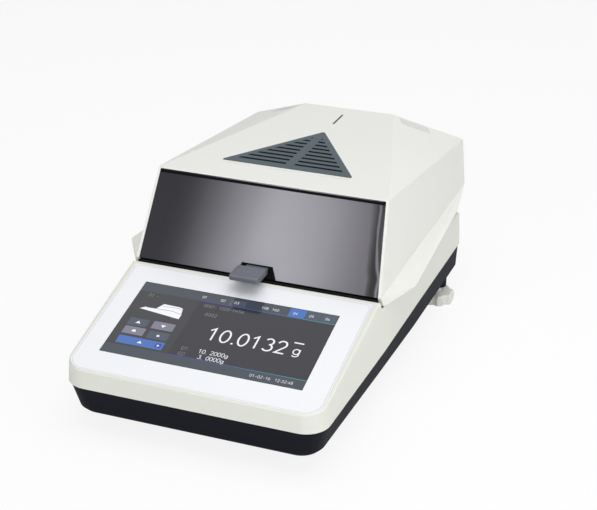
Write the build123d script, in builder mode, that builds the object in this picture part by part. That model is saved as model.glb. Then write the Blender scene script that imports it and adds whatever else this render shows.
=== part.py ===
from build123d import *
import os
from math import acos, atan2, cos, degrees, hypot, pi, radians, sin, tan

# Bench-top halogen moisture analyzer with a touch screen and a faceted, motor-driven lid.
# Millimetres. +X is the user's right, +Y the rear, +Z up; the table is Z = 0.
# Lengths written as "at" are distances behind the front of the housing.

os.makedirs("parts", exist_ok=True)

# Housing
overall_depth = 380.0
lid_overhang = 48.5
hinge_inset = 35.0
hinge_at = overall_depth - hinge_inset
foot_height = 18.3
tray_chamfer = 3.0
parting_level = 41.9
case_wall = 2.5
tray_wall = 2.5
tray_step_in = 1.0
form_top = 84.0
front_half = 98.0
kink_half = 103.6
kink_at = 127.0
waist_half = 105.6
waist_at = 210.0
rear_half = 109.0
case_rear_at = overall_depth - lid_overhang
front_corner = 18.0
rear_corner = 20.0
case_draft_front = 2.5
case_draft_rear = 1.5
top_front_half = 94.8
top_kink_half = 99.6
top_rear_half = 106.8
tray_low_front_half = 92.5
tray_low_kink_half = 99.2
tray_low_waist_half = 103.4
tray_low_front_at = 5.5
lip_height = 3.0
lip_thickness = 1.3
lip_gap = 0.3
edge_round = 1.8
deck_round = 1.0

# Sloping panel, deck and their cut-outs
panel_front_at = 2.2
panel_front_level = 56.5
panel_slope = 12.2
ridge_at = 126.0
ridge_run = 1.5
deck_level = 76.0
deck_fall_run = 69.5
deck_fall_at = case_rear_at - deck_fall_run
deck_fall = 4.2
chamber_shift = 4.25
chamber_at = (ridge_at + ridge_run + hinge_at) / 2 - chamber_shift
chamber_radius = 66.0

# Overlay and display
overlay_half = 95.2
overlay_length = 122.4
overlay_front_corner = 13.0
overlay_rear_corner = 5.0
overlay_thickness = 1.2
overlay_proud = 0.2
screen_width = 154.2
screen_height = 82.0
screen_start = 21.7
screen_shift = -1.2
fit_gap = 0.1

# Lid
lid_gap = 1.0
lid_wall = 2.5
lid_round = 1.0
lid_top_front = (92.8, 162.1, 148.2)
lid_top_inset = 27.6
lid_top_rear = (39.9, overall_depth - lid_top_inset, 142.7)
lid_shoulder_level = 117.9
lid_rear_low_half = 99.4
lid_flare_tip = (117.0, 158.0, 84.4)
lid_front_low = (98.7, 129.3, 84.4)
lid_base_front = (100.5, 132.0)
lid_base_inset = 58.0
lid_base_side = (108.0, overall_depth - lid_base_inset)
window_rim = 2.2
window_top_rim = 1.0
window_thickness = 2.0
window_recess = 0.2
window_frame_depth = 3.0
window_frame_band = 5.0
notch_top_half = 12.5
notch_base_half = 17.0
notch_height = 9.5

# Slit and grille in the lid's top facet
slit_rear_inset = 17.2
slit_length = 26.4
slit_rear_at = lid_top_rear[1] - slit_rear_inset
slit_front_at = slit_rear_at - slit_length
slit_width = 1.6
grille_to_slit = 22.3
grille_base_at = 195.0
grille_apex_at = slit_front_at - grille_to_slit
grille_half = 54.0
grille_corner = 1.5
grille_thickness = 1.9
grille_proud = 0.4
grille_ledge = 4.0
grille_frame = 5.0
grille_rib = 7.0
louvre_count = 9
louvre_pitch = 8.0
louvre_slot = 3.4
louvre_start = 10.0

# Lid hinge and its drive
hinge_level = 92.0
hinge_pin_radius = 3.0
running_gap = 0.05
bracket_inner_x = 60.0
bracket_thickness = 4.0
ear_thickness = 3.7
side_gap = 0.3
gear_module = 1.0
hinge_gear_teeth = 24
pinion_teeth = 12
pressure_angle = 25.0
backlash = 0.12
pinion_direction = 20.0
pinion_width = 5.0
motor_shaft_radius = 2.0
gear_play = 0.1
carrier_level = 112.0
carrier_thickness = 2.0

# Heater in the lid
heater_plate_level = 97.0
heater_plate_thickness = 1.2
heater_hole_radius = 58.0
lamp_ring_radius = 40.0
lamp_tube_radius = 5.0
lamp_level = 107.0
reflector_top = 120.0
reflector_skin = 1.0
glass_radius = 56.0
glass_thickness = 3.0

# Weighing chamber
tub_floor = 62.0
tub_radius = 62.0
tub_skin = 1.0
spindle_radius = 3.0
cross_level = 68.0
cross_thickness = 2.0
pan_radius = 45.0
pan_depth = 7.5
cell_deflection_room = 1.0

# Feet
rear_foot_half = 99.4
rear_foot_inset = 29.5
rear_foot_at = case_rear_at - rear_foot_inset
front_foot_half = 75.0
front_foot_at = 60.0
knob_radius = 14.0
knob_lobes = 8
knob_low = 0.5
knob_high = 9.0
stud_radius = 3.0
foot_boss_drop = 3.8
pad_radius = 9.0
pad_thickness = 2.2
pad_pin_radius = 2.0
pad_pin_top = 6.0

# Rear panel
rear_panel_half = 70.0
rear_panel_low = 23.5
rear_panel_high = 45.5
rear_panel_thickness = 1.5
rear_panel_recess = 2.1
rear_panel_at = case_rear_at - rear_panel_recess
rear_panel_ledge = 1.4
rear_panel_corner = 2.0
socket_level = 34.5


def along(distance):
    """Y of a point that lies this far behind the front of the housing."""
    return distance - overall_depth / 2


def keep(piece, name):
    """Label a finished piece and write it to its own file."""
    piece.part.label = name
    export_step(piece.part, f"parts/{name}.step")


def flip(point):
    """The same point on the left half."""
    return Vector(-point.X, point.Y, point.Z)


# Housing forms. Each is a solid that can be drawn smaller by an inset, so a shell is the
# difference of two of them.


def plan(level, half_widths, front_at, rear_at, front_radius, rear_radius):
    """Closed plan outline of the housing at one level, narrow at the front and kinked twice."""
    stations = (front_at, kink_at, waist_at, rear_at)
    right = [(half, along(at)) for half, at in zip(half_widths, stations)]
    left = [(-x, y) for x, y in reversed(right)]
    with BuildSketch(Plane.XY.offset(level)) as outline:
        with BuildLine():
            Polyline(*right, *left, close=True)
        make_face()
        rows = outline.vertices().group_by(Axis.Y)
        fillet(rows[0], front_radius)
        fillet(rows[-1], rear_radius)
    return outline.sketch


def case_plan(level, inset):
    """The case's outline where it meets the tray."""
    halves = [half - inset for half in (front_half, kink_half, waist_half, rear_half)]
    return plan(level, halves, inset, case_rear_at - inset, front_corner - inset, rear_corner - inset)


def panel_level(at, inset=0):
    """Height of the sloping panel."""
    return panel_front_level + (at - panel_front_at) * tan(radians(panel_slope)) - inset


def deck_height(at, inset=0):
    """Height of the deck under the lid, which falls a little towards the rear."""
    return deck_level - max(0, at - deck_fall_at) * tan(radians(deck_fall)) - inset


def case_form(inset):
    """Upper housing: drafted walls cut by the sloping panel and by the deck."""
    beyond = 10.0
    with BuildPart() as form:
        top_halves = (top_front_half, top_kink_half, top_rear_half, top_rear_half)
        high = plan(
            form_top,
            [half - inset for half in top_halves],
            case_draft_front + inset,
            case_rear_at - case_draft_rear - inset,
            front_corner - case_draft_front - inset,
            rear_corner - case_draft_rear - inset,
        )
        loft([case_plan(parting_level, inset), high], ruled=True)
        deck_start = ridge_at + ridge_run + inset
        with BuildSketch(Plane.YZ) as side:
            with BuildLine():
                Polyline(
                    (along(-beyond), parting_level),
                    (along(-beyond), panel_level(-beyond, inset)),
                    (along(ridge_at + inset), panel_level(ridge_at + inset, inset)),
                    (along(deck_start), deck_level - inset),
                    (along(deck_fall_at), deck_level - inset),
                    (along(case_rear_at + beyond), deck_height(case_rear_at + beyond, inset)),
                    (along(case_rear_at + beyond), parting_level),
                    close=True,
                )
            make_face()
        extrude(amount=overall_depth, both=True, mode=Mode.INTERSECT)
    return form.part


def tray_form(inset):
    """Lower housing: a tapered tray with a chamfered foot."""
    low_halves = (tray_low_front_half, tray_low_kink_half, tray_low_waist_half, rear_half - 2 * tray_step_in)
    rear_at = case_rear_at - tray_step_in
    sections = []
    for level, more in ((foot_height + inset, tray_chamfer), (foot_height + tray_chamfer + inset, 0)):
        halves = [half - inset - more for half in low_halves]
        corner = front_corner - tray_step_in - inset - more
        front_at = tray_low_front_at + inset + more
        sections.append(plan(level, halves, front_at, rear_at - inset - more, corner, corner))
    sections.append(case_plan(parting_level, tray_step_in + inset))
    with BuildPart() as form:
        loft(sections, ruled=True)
    return form.part


panel_plane = Plane(
    origin=(0, along(panel_front_at), panel_front_level),
    x_dir=(1, 0, 0),
    z_dir=(0, -sin(radians(panel_slope)), cos(radians(panel_slope))),
)
screen_centre = (screen_shift, screen_start + screen_height / 2)


def overlay_shape(gap):
    """The overlay's outline on the panel, grown by a gap."""
    with BuildSketch(panel_plane) as shape:
        with Locations((0, overlay_length / 2)):
            Rectangle(2 * (overlay_half + gap), overlay_length + 2 * gap)
        rows = shape.vertices().group_by(Axis.Y)
        fillet(rows[0], overlay_front_corner + gap)
        fillet(rows[-1], overlay_rear_corner + gap)
    return shape.sketch


# Screws join the tray to the case at four posts.
post_radius = 4.5
post_sides = 8
screw_radius = 1.5
screw_head_radius = 3.2
screw_head_height = 2.0
screw_seat = 3.0
screw_bite = 8.0
front_post = (90.0, 60.0)
rear_post_inset = 31.5
rear_post = (80.0, case_rear_at - rear_post_inset)
post_places = [(side * x, along(at)) for side in (-1, 1) for x, at in (front_post, rear_post)]

# The base's hinge brackets come up through slots in the deck.
bracket_reach = 49.0
bracket_width = 18.0
bracket_front_at = hinge_at - bracket_reach
bracket_back_at = bracket_front_at + bracket_width
slot_gap = 1.0
bracket_centres = [side * (bracket_inner_x + bracket_thickness / 2) for side in (-1, 1)]

rear_foot_places = [(side * rear_foot_half, along(rear_foot_at)) for side in (-1, 1)]
front_foot_places = [(side * front_foot_half, along(front_foot_at)) for side in (-1, 1)]
boss_wall = 2.0
insert_radius = 5.0
insert_top = 33.0

# Circuit boards stand on posts: x, y of each post and the boards' centres and sizes.
board_level = 28.0
board_thickness = 1.6
board_post_radius = 3.0
board_inset = 5.0
main_board_size = (140.0, 80.0)
main_board_centre = (0.0, along(68.0))
power_board_size = (54.0, 96.0)
power_board_to_post = 82.0
power_board_centre = (-64.0, along(rear_post[1] - power_board_to_post))
cell_plate_width = 64.0
cell_plate_length = 120.0
cell_plate_spread = (cell_plate_width - 2 * board_post_radius, cell_plate_length - 2 * board_post_radius)
cell_plate_level = 26.0
cell_plate_thickness = 4.0
cooling_slots_at = 130.0
cooling_slot_pitch = 8.0
cooling_slot_count = 12
cooling_slot_length = 34.0
cooling_slot_width = 3.0

level_centre = (-84.0, along(152.0))
level_radius = 8.0
module_margin = 5.0


def rear_outline(grown, at, corner):
    """Upright outline of the rear panel's window, grown all round, facing the rear."""
    with BuildSketch(Plane.XZ.offset(-along(at))) as outline:
        height = rear_panel_high - rear_panel_low
        with Locations((0, rear_panel_low + height / 2)):
            RectangleRounded(2 * (rear_panel_half + grown), height + 2 * grown, corner)
    return outline.sketch


with BuildPart() as rear_opening:
    extrude(rear_outline(0, case_rear_at + 1, rear_panel_corner), amount=3 * case_wall)
    extrude(rear_outline(rear_panel_ledge + fit_gap, rear_panel_at, rear_panel_corner), amount=2 * case_wall)

with BuildPart() as posts:
    with BuildSketch(Plane.XY.offset(parting_level)):
        with Locations(*post_places):
            RegularPolygon(post_radius, post_sides)
    extrude(amount=form_top - parting_level)
    add(case_form(case_wall / 2), mode=Mode.INTERSECT)
    with BuildSketch(Plane.XY.offset(parting_level)):
        with Locations(*post_places):
            Circle(screw_radius)
    extrude(amount=screw_bite, mode=Mode.SUBTRACT)

with BuildPart() as upper_case:
    add(case_form(0))
    top_faces = upper_case.faces().filter_by(lambda face: face.normal_at().Z > 0.9)
    fillet(top_faces.sort_by(Axis.Y)[0].edges(), edge_round)
    deck_rims = upper_case.edges().filter_by(
        lambda edge: edge.center().Z > deck_height(case_rear_at) - 2 * edge_round
        and edge.center().Y > along(ridge_at + front_corner)
        and edge.length > rear_corner / 2
    )
    outer_rims = deck_rims.filter_by(
        lambda edge: abs(edge.center().X) > chamber_radius
        or edge.center().Y > along(case_rear_at - rear_corner)
    )
    fillet(outer_rims, deck_round)
    add(case_form(case_wall), mode=Mode.SUBTRACT)
    add(posts)
    extrude(overlay_shape(fit_gap), amount=overlay_proud - overlay_thickness, mode=Mode.SUBTRACT)
    with BuildSketch(panel_plane):
        module_room = 2 * (module_margin + fit_gap)
        with Locations(screen_centre):
            Rectangle(screen_width + module_room, screen_height + module_room)
    extrude(amount=-3 * case_wall, mode=Mode.SUBTRACT)
    with BuildSketch(Plane.XY.offset(deck_level)):
        with Locations((0, along(chamber_at))):
            Circle(chamber_radius)
        with Locations(level_centre):
            Circle(level_radius + fit_gap)
        slot_length = bracket_back_at - bracket_front_at + 2 * slot_gap
        slot_middle = along((bracket_front_at + bracket_back_at) / 2)
        with Locations(*[(x, slot_middle) for x in bracket_centres]):
            Rectangle(bracket_thickness + 2 * slot_gap, slot_length)
    extrude(amount=-5 * case_wall, mode=Mode.SUBTRACT)
    add(rear_opening, mode=Mode.SUBTRACT)
keep(upper_case, "upper_case")

boards = ((main_board_centre, main_board_size), (power_board_centre, power_board_size))

with BuildPart() as foot_bosses:
    with BuildSketch(Plane.XY.offset(foot_height)):
        with Locations(*rear_foot_places):
            Circle(insert_radius + boss_wall)
    extrude(amount=insert_top - foot_height)
    add(tray_form(tray_wall / 2), mode=Mode.INTERSECT)

with BuildPart() as bottom_tray:
    add(tray_form(0))
    add(tray_form(tray_wall), mode=Mode.SUBTRACT)
    lip_outer = case_wall + lip_gap
    with BuildSketch(Plane.XY.offset(parting_level - lip_height)):
        add(case_plan(parting_level - lip_height, lip_outer))
        add(case_plan(parting_level - lip_height, lip_outer + lip_thickness), mode=Mode.SUBTRACT)
    extrude(amount=2 * lip_height)
    with BuildSketch(Plane.XY.offset(foot_height + tray_wall)):
        with Locations(*post_places):
            RegularPolygon(post_radius, post_sides)
    extrude(amount=parting_level - foot_height - tray_wall)
    add(foot_bosses)
    with BuildSketch(Plane.XY.offset(foot_height - foot_boss_drop)):
        with Locations(*rear_foot_places):
            Circle(insert_radius + boss_wall)
    extrude(amount=foot_boss_drop + tray_chamfer)
    with BuildSketch(Plane.XY.offset(foot_height + tray_wall)):
        for centre, (width, length) in boards:
            with Locations(centre):
                with GridLocations(width - 2 * board_inset, length - 2 * board_inset, 2, 2):
                    RegularPolygon(board_post_radius, post_sides)
    extrude(amount=board_level - foot_height - tray_wall)
    with BuildSketch(Plane.XY.offset(foot_height + tray_wall)):
        with Locations((0, along(chamber_at))):
            with GridLocations(*cell_plate_spread, 2, 2):
                RegularPolygon(board_post_radius, post_sides)
    extrude(amount=cell_plate_level - foot_height - tray_wall)
    with BuildSketch(Plane.XY.offset(foot_height)):
        with Locations(*post_places):
            Circle(screw_radius + fit_gap)
    extrude(amount=parting_level - foot_height, mode=Mode.SUBTRACT)
    with BuildSketch(Plane.XY.offset(foot_height)):
        with Locations(*post_places):
            Circle(screw_head_radius + fit_gap)
    extrude(amount=screw_seat, mode=Mode.SUBTRACT)
    with BuildSketch(Plane.XY.offset(foot_height - foot_boss_drop)):
        with Locations(*rear_foot_places):
            Circle(insert_radius)
    extrude(amount=insert_top - foot_height + foot_boss_drop, mode=Mode.SUBTRACT)
    with BuildSketch(Plane.XY.offset(foot_height)):
        with Locations((0, along(cooling_slots_at))):
            with GridLocations(cooling_slot_pitch, 0, cooling_slot_count, 1):
                Rectangle(cooling_slot_width, cooling_slot_length)
    extrude(amount=tray_wall, mode=Mode.SUBTRACT)
    add(rear_opening, mode=Mode.SUBTRACT)
keep(bottom_tray, "bottom_tray")

# Front panel overlay, screen glass and the display module that the glass covers.
with BuildPart() as panel_overlay:
    extrude(overlay_shape(0), amount=overlay_proud)
    extrude(overlay_shape(0), amount=overlay_proud - overlay_thickness)
    with BuildSketch(panel_plane):
        with Locations(screen_centre):
            Rectangle(screen_width + 2 * fit_gap, screen_height + 2 * fit_gap)
    extrude(amount=2 * overlay_thickness, both=True, mode=Mode.SUBTRACT)
keep(panel_overlay, "panel_overlay")

pocket_floor = overlay_proud - overlay_thickness
screen_top = overlay_proud / 2
with BuildPart() as screen_glass:
    with BuildSketch(panel_plane.offset(pocket_floor)):
        with Locations(screen_centre):
            Rectangle(screen_width, screen_height)
    extrude(amount=screen_top - pocket_floor)
keep(screen_glass, "screen_glass")

module_depth = 8.0
module_flange = 1.8
module_flange_thickness = 3.0
with BuildPart() as display_module:
    with BuildSketch(panel_plane.offset(pocket_floor)):
        with Locations(screen_centre):
            Rectangle(screen_width + 2 * module_margin, screen_height + 2 * module_margin)
    extrude(amount=-module_depth)
    with BuildSketch(panel_plane.offset(-case_wall)):
        flange_growth = 2 * (module_margin + module_flange)
        with Locations(screen_centre):
            Rectangle(screen_width + flange_growth, screen_height + flange_growth)
    extrude(amount=-module_flange_thickness)
keep(display_module, "display_module")

display_board_gap = 3.0
display_board_size = (130.0, 70.0)
driver_chip_size = 16.0
driver_chip_height = 1.5
driver_chip_pitch = 36.0
with BuildPart() as display_board:
    board_top = pocket_floor - module_depth - display_board_gap
    with BuildSketch(panel_plane.offset(board_top)):
        with Locations(screen_centre):
            Rectangle(*display_board_size)
    extrude(amount=-board_thickness)
    with BuildSketch(panel_plane.offset(board_top)):
        with Locations(screen_centre):
            with GridLocations(
                display_board_size[0] - 2 * board_inset, display_board_size[1] - 2 * board_inset, 2, 2
            ):
                RegularPolygon(board_post_radius, post_sides)
    extrude(amount=display_board_gap)
    with BuildSketch(panel_plane.offset(board_top - board_thickness)):
        with Locations(screen_centre):
            with GridLocations(driver_chip_pitch, 0, 3, 1):
                Rectangle(driver_chip_size, driver_chip_size)
    extrude(amount=-driver_chip_height)
keep(display_board, "display_board")


# Circuit boards and weighing cell in the tray.
def board(centre, size, chips, tall_parts):
    """A circuit board with flat chips and round capacitors on it, given by place and size."""
    with BuildPart() as made:
        with BuildSketch(Plane.XY.offset(board_level)):
            with Locations(centre):
                Rectangle(*size)
                with GridLocations(size[0] - 2 * board_inset, size[1] - 2 * board_inset, 2, 2):
                    Circle(screw_radius, mode=Mode.SUBTRACT)
        extrude(amount=board_thickness)
        for x, y, width, length, height in chips:
            with BuildSketch(Plane.XY.offset(board_level + board_thickness)):
                with Locations((centre[0] + x, centre[1] + y)):
                    Rectangle(width, length)
            extrude(amount=height)
        for x, y, radius, height in tall_parts:
            with BuildSketch(Plane.XY.offset(board_level + board_thickness)):
                with Locations((centre[0] + x, centre[1] + y)):
                    Circle(radius)
            extrude(amount=height)
    return made


main_board = board(
    main_board_centre,
    main_board_size,
    [(-20, 5, 22, 22, 1.6), (20, 8, 14, 14, 1.4), (48, -20, 12, 18, 4), (-50, 15, 18, 8, 6)],
    [(50, 15, 4, 9), (60, 5, 4, 9)],
)
keep(main_board, "main_board")
power_board = board(
    power_board_centre,
    power_board_size,
    [(0, -16, 38, 30, 24), (10, 20, 20, 14, 12)],
    [(-14, 22, 8, 20), (-14, 4, 5, 14)],
)
keep(power_board, "power_board")

with BuildPart() as cell_plate:
    with BuildSketch(Plane.XY.offset(cell_plate_level)):
        with Locations((0, along(chamber_at))):
            RectangleRounded(cell_plate_width, cell_plate_length, 4)
            with GridLocations(*cell_plate_spread, 2, 2):
                Circle(screw_radius, mode=Mode.SUBTRACT)
    extrude(amount=cell_plate_thickness)
keep(cell_plate, "cell_plate")

cell_width = 40.0
cell_length = 104.0
cell_height = 27.0
cell_low = cell_plate_level + cell_plate_thickness
cell_top = cell_low + cell_height
spindle_depth = 10.0
with BuildPart() as load_cell:
    with BuildSketch(Plane.XY.offset(cell_low)):
        with Locations((0, along(chamber_at))):
            Rectangle(cell_width, cell_length)
    extrude(amount=cell_height)
    with BuildSketch(Plane.YZ):
        with Locations((along(chamber_at) + 22, cell_low + cell_height / 2)):
            SlotOverall(44, 12)
        with Locations((along(chamber_at) - 30, cell_low + cell_height / 2 - 3)):
            SlotOverall(30, 9)
    extrude(amount=cell_width, both=True, mode=Mode.SUBTRACT)
    with BuildSketch(Plane.XY.offset(cell_top)):
        with Locations((0, along(chamber_at))):
            Circle(spindle_radius + running_gap)
    extrude(amount=-spindle_depth, mode=Mode.SUBTRACT)
keep(load_cell, "load_cell")

# Weighing chamber: a steel tub in the deck, the draft shield and the pan on its support.
tub_flange = 6.0
tub_hole_radius = 8.0
flange_level = deck_level
with BuildPart() as chamber_tub:
    with BuildSketch(Plane.YZ):
        with BuildLine():
            Polyline(
                (tub_hole_radius, tub_floor),
                (tub_radius + tub_skin, tub_floor),
                (tub_radius + tub_skin, flange_level),
                (tub_radius + tub_skin + tub_flange, flange_level),
                (tub_radius + tub_skin + tub_flange, flange_level + tub_skin),
                (tub_radius, flange_level + tub_skin),
                (tub_radius, tub_floor + tub_skin),
                (tub_hole_radius, tub_floor + tub_skin),
                close=True,
            )
        make_face()
    revolve(axis=Axis.Z)
chamber_tub.part = chamber_tub.part.moved(Location((0, along(chamber_at), 0)))
keep(chamber_tub, "chamber_tub")

shield_radius = 55.0
shield_top = 69.5
shield_skin = 1.0
with BuildPart() as draft_shield:
    with BuildSketch(Plane.XY.offset(tub_floor + tub_skin)):
        with Locations((0, along(chamber_at))):
            Circle(shield_radius)
            Circle(shield_radius - shield_skin, mode=Mode.SUBTRACT)
    extrude(amount=shield_top - tub_floor - tub_skin)
keep(draft_shield, "draft_shield")

spindle_low = cell_top - spindle_depth + cell_deflection_room
cross_reach = 42.0
cross_width = 5.0
with BuildPart() as pan_support:
    with BuildSketch(Plane.XY.offset(spindle_low)):
        with Locations((0, along(chamber_at))):
            Circle(spindle_radius)
    extrude(amount=cross_level - spindle_low)
    with BuildSketch(Plane.XY.offset(cross_level)):
        with Locations((0, along(chamber_at))):
            with Locations(Rotation(0, 0, 45)):
                Rectangle(2 * cross_reach, cross_width)
                Rectangle(cross_width, 2 * cross_reach)
            Circle(3 * spindle_radius)
    extrude(amount=cross_thickness)
keep(pan_support, "pan_support")

ring_level = cross_level + cross_thickness
ring_thickness = 1.2
ring_inner = 34.0
ring_lip = 4.0
handler_rim = 2.2
grip_width = 14.0
grip_length = 18.0
grip_round = 4.0
with BuildPart() as pan_handler:
    with BuildSketch(Plane.XY.offset(ring_level)):
        with Locations((0, along(chamber_at))):
            Circle(pan_radius + handler_rim)
        with Locations((0, along(chamber_at) - pan_radius - grip_length / 3)):
            RectangleRounded(grip_width, grip_length, grip_round)
        with Locations((0, along(chamber_at))):
            Circle(ring_inner, mode=Mode.SUBTRACT)
    extrude(amount=ring_thickness)
    with BuildSketch(Plane.XY.offset(ring_level)):
        with Locations((0, along(chamber_at))):
            Circle(pan_radius + handler_rim)
            Circle(pan_radius + handler_rim - ring_thickness, mode=Mode.SUBTRACT)
    extrude(amount=ring_lip)
keep(pan_handler, "pan_handler")

pan_skin = 0.6
pan_flare = 1.0
pan_rim = 2.5
pan_floor = ring_level + ring_thickness
with BuildPart() as sample_pan:
    with BuildSketch(Plane.YZ):
        with BuildLine():
            Polyline(
                (0, pan_floor),
                (pan_radius - pan_flare, pan_floor),
                (pan_radius, pan_floor + pan_depth - pan_skin),
                (pan_radius + pan_rim, pan_floor + pan_depth - pan_skin),
                (pan_radius + pan_rim, pan_floor + pan_depth),
                (pan_radius - pan_skin, pan_floor + pan_depth),
                (pan_radius - pan_flare - pan_skin, pan_floor + pan_skin),
                (0, pan_floor + pan_skin),
                close=True,
            )
        make_face()
    revolve(axis=Axis.Z)
sample_pan.part = sample_pan.part.moved(Location((0, along(chamber_at), 0)))
keep(sample_pan, "sample_pan")

# Bubble level in the deck and the black seal round the deck's edge.
level_depth = 6.0
level_flange = 2.0
level_flange_thickness = 0.7
level_glass_thickness = 2.0
level_glass_recess = 1.0
level_wall = 1.5
with BuildPart() as level_cup:
    with BuildSketch(Plane.XY.offset(deck_level - level_depth)):
        with Locations(level_centre):
            Circle(level_radius)
    extrude(amount=level_depth)
    with BuildSketch(Plane.XY.offset(deck_level)):
        with Locations(level_centre):
            Circle(level_radius + level_flange)
    extrude(amount=level_flange_thickness)
    with BuildSketch(Plane.XY.offset(deck_level + level_flange_thickness)):
        with Locations(level_centre):
            Circle(level_radius - level_wall)
    extrude(amount=-level_glass_thickness - level_glass_recess, mode=Mode.SUBTRACT)
keep(level_cup, "level_cup")
with BuildPart() as level_glass:
    glass_seat = deck_level + level_flange_thickness - level_glass_thickness - level_glass_recess
    with BuildSketch(Plane.XY.offset(glass_seat)):
        with Locations(level_centre):
            Circle(level_radius - level_wall)
    extrude(amount=level_glass_thickness)
keep(level_glass, "level_glass")

seal_gap = 0.3
seal_step = 1.2
seal_width = 2.2
seal_bar_at = 127.7
seal_bar_depth = 1.3
seal_bar_top = 83.0
seal_bar_inset = 7.0


def deck_outline(inset):
    """The deck's outline at its own level."""
    share = (deck_level - parting_level) / (form_top - parting_level)
    lows = (front_half, kink_half, waist_half, rear_half)
    highs = (top_front_half, top_kink_half, top_rear_half, top_rear_half)
    halves = [low + share * (high - low) - inset for low, high in zip(lows, highs)]
    return plan(deck_level, halves, inset, case_rear_at - inset, front_corner, rear_corner)


with BuildPart() as deck_seal:
    with BuildSketch(Plane.XY.offset(deck_level)):
        add(deck_outline(seal_step))
        add(deck_outline(seal_step + seal_width), mode=Mode.SUBTRACT)
        with Locations((0, along((seal_bar_at + deck_fall_at) / 2))):
            Rectangle(4 * rear_half, deck_fall_at - seal_bar_at, mode=Mode.INTERSECT)
    extrude(amount=lid_gap - seal_gap)
    with BuildSketch(Plane.XY.offset(deck_level)):
        with Locations((0, along(seal_bar_at + seal_bar_depth / 2))):
            Rectangle(2 * (kink_half - seal_bar_inset), seal_bar_depth)
    extrude(amount=seal_bar_top - deck_level)
keep(deck_seal, "deck_seal")

# Lid: a faceted outer form from its named corners, and the room inside its walls from the same
# planes moved inward.


def placed(point):
    """A corner given as half width, distance from the front and height."""
    half, at, level = point
    return Vector(half, along(at), level)


def plane_through(a, b, c, inset=0):
    """Outward normal and distance of the plane through three corners, moved inward."""
    normal = (b - a).cross(c - a).normalized()
    if normal.dot(a - Vector(0, 0, hinge_level)) < 0:
        normal = -normal
    return normal, normal.dot(a) - inset


def lid_corners():
    """Named corners of the right half of the lid. The shoulder lies in the side facet's plane."""
    base_level = deck_level + lid_gap
    corners = {
        "top_front": placed(lid_top_front),
        "top_rear": placed(lid_top_rear),
        "flare": placed(lid_flare_tip),
        "front_low": placed(lid_front_low),
        "base_front": placed((*lid_base_front, base_level)),
        "base_side": placed((*lid_base_side, base_level)),
        "rear_low": placed((lid_rear_low_half, overall_depth, base_level)),
    }
    normal, distance = plane_through(corners["top_front"], corners["front_low"], corners["rear_low"])
    y, z = along(overall_depth), lid_shoulder_level
    corners["shoulder"] = Vector((distance - normal.Y * y - normal.Z * z) / normal.X, y, z)
    return corners


def facet(*points):
    """A flat face through points in order."""
    return Face(Wire.make_polygon(points, close=True))


def lid_form():
    """The lid's faceted outer form with its flared sides."""
    right = lid_corners()
    left = {name: flip(point) for name, point in right.items()}
    across = (
        ("top_front", "top_rear"),
        ("top_rear", "shoulder"),
        ("shoulder", "rear_low"),
        ("top_front", "front_low"),
        ("front_low", "base_front"),
        ("base_front", "base_side", "rear_low"),
    )
    beside = (
        ("top_front", "shoulder", "top_rear"),
        ("top_front", "front_low", "rear_low", "shoulder"),
        ("front_low", "flare", "rear_low"),
        ("flare", "base_side", "rear_low"),
        ("front_low", "flare", "base_front"),
        ("flare", "base_front", "base_side"),
    )
    faces = []
    for names in across:
        faces.append(facet(*[right[name] for name in names], *[left[name] for name in reversed(names)]))
    for half in (right, left):
        faces += [facet(*[half[name] for name in names]) for names in beside]
    return Solid(Shell(faces))


def lid_room(inset):
    """The room inside the lid's walls: a block cut by the outer planes moved inward."""
    corners = lid_corners()

    def across(name, other):
        return plane_through(corners[name], flip(corners[name]), corners[other], inset)

    planes = [
        across("top_front", "top_rear"),
        across("top_front", "front_low"),
        across("top_rear", "shoulder"),
        (Vector(0, 1, 0), along(overall_depth) - inset),
    ]
    for names in (("top_front", "front_low", "rear_low"), ("top_front", "shoulder", "top_rear")):
        normal, distance = plane_through(*[corners[name] for name in names], inset)
        planes += [(normal, distance), (flip(normal), distance)]
    with BuildPart() as room:
        with BuildSketch(Plane.XY.offset(deck_level - inset)):
            Rectangle(3 * rear_half, 2 * overall_depth)
        extrude(amount=2 * lid_top_front[2])
        for normal, distance in planes:
            split(bisect_by=Plane(origin=normal * distance, z_dir=normal), keep=Keep.BOTTOM)
    return room.part


soft_pairs = (
    ("top_front", "top_rear"),
    ("top_front", "shoulder"),
    ("top_front", "front_low"),
    ("top_rear", "shoulder"),
    ("shoulder", "rear_low"),
    ("front_low", "rear_low"),
    ("front_low", "flare"),
    ("flare", "rear_low"),
    ("flare", "base_side"),
    ("flare", "base_front"),
)
soft_spans = ("top_front", "top_rear", "shoulder")


def soft_edges(edges):
    """The lid's edges that are rounded: all but those at its base and under its flared sides."""
    right = lid_corners()
    wanted = [(right[name], flip(right[name])) for name in soft_spans]
    for first, second in soft_pairs:
        wanted.append((right[first], right[second]))
        wanted.append((flip(right[first]), flip(right[second])))

    def joins(edge, ends):
        start, end = edge.position_at(0), edge.position_at(1)
        near = 0.01
        return all(min((start - point).length, (end - point).length) < near for point in ends)

    return [edge for edge in edges if any(joins(edge, ends) for ends in wanted)]


lid_inside = lid_room(lid_wall)
lid_middle = lid_room(lid_wall / 2)

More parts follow.
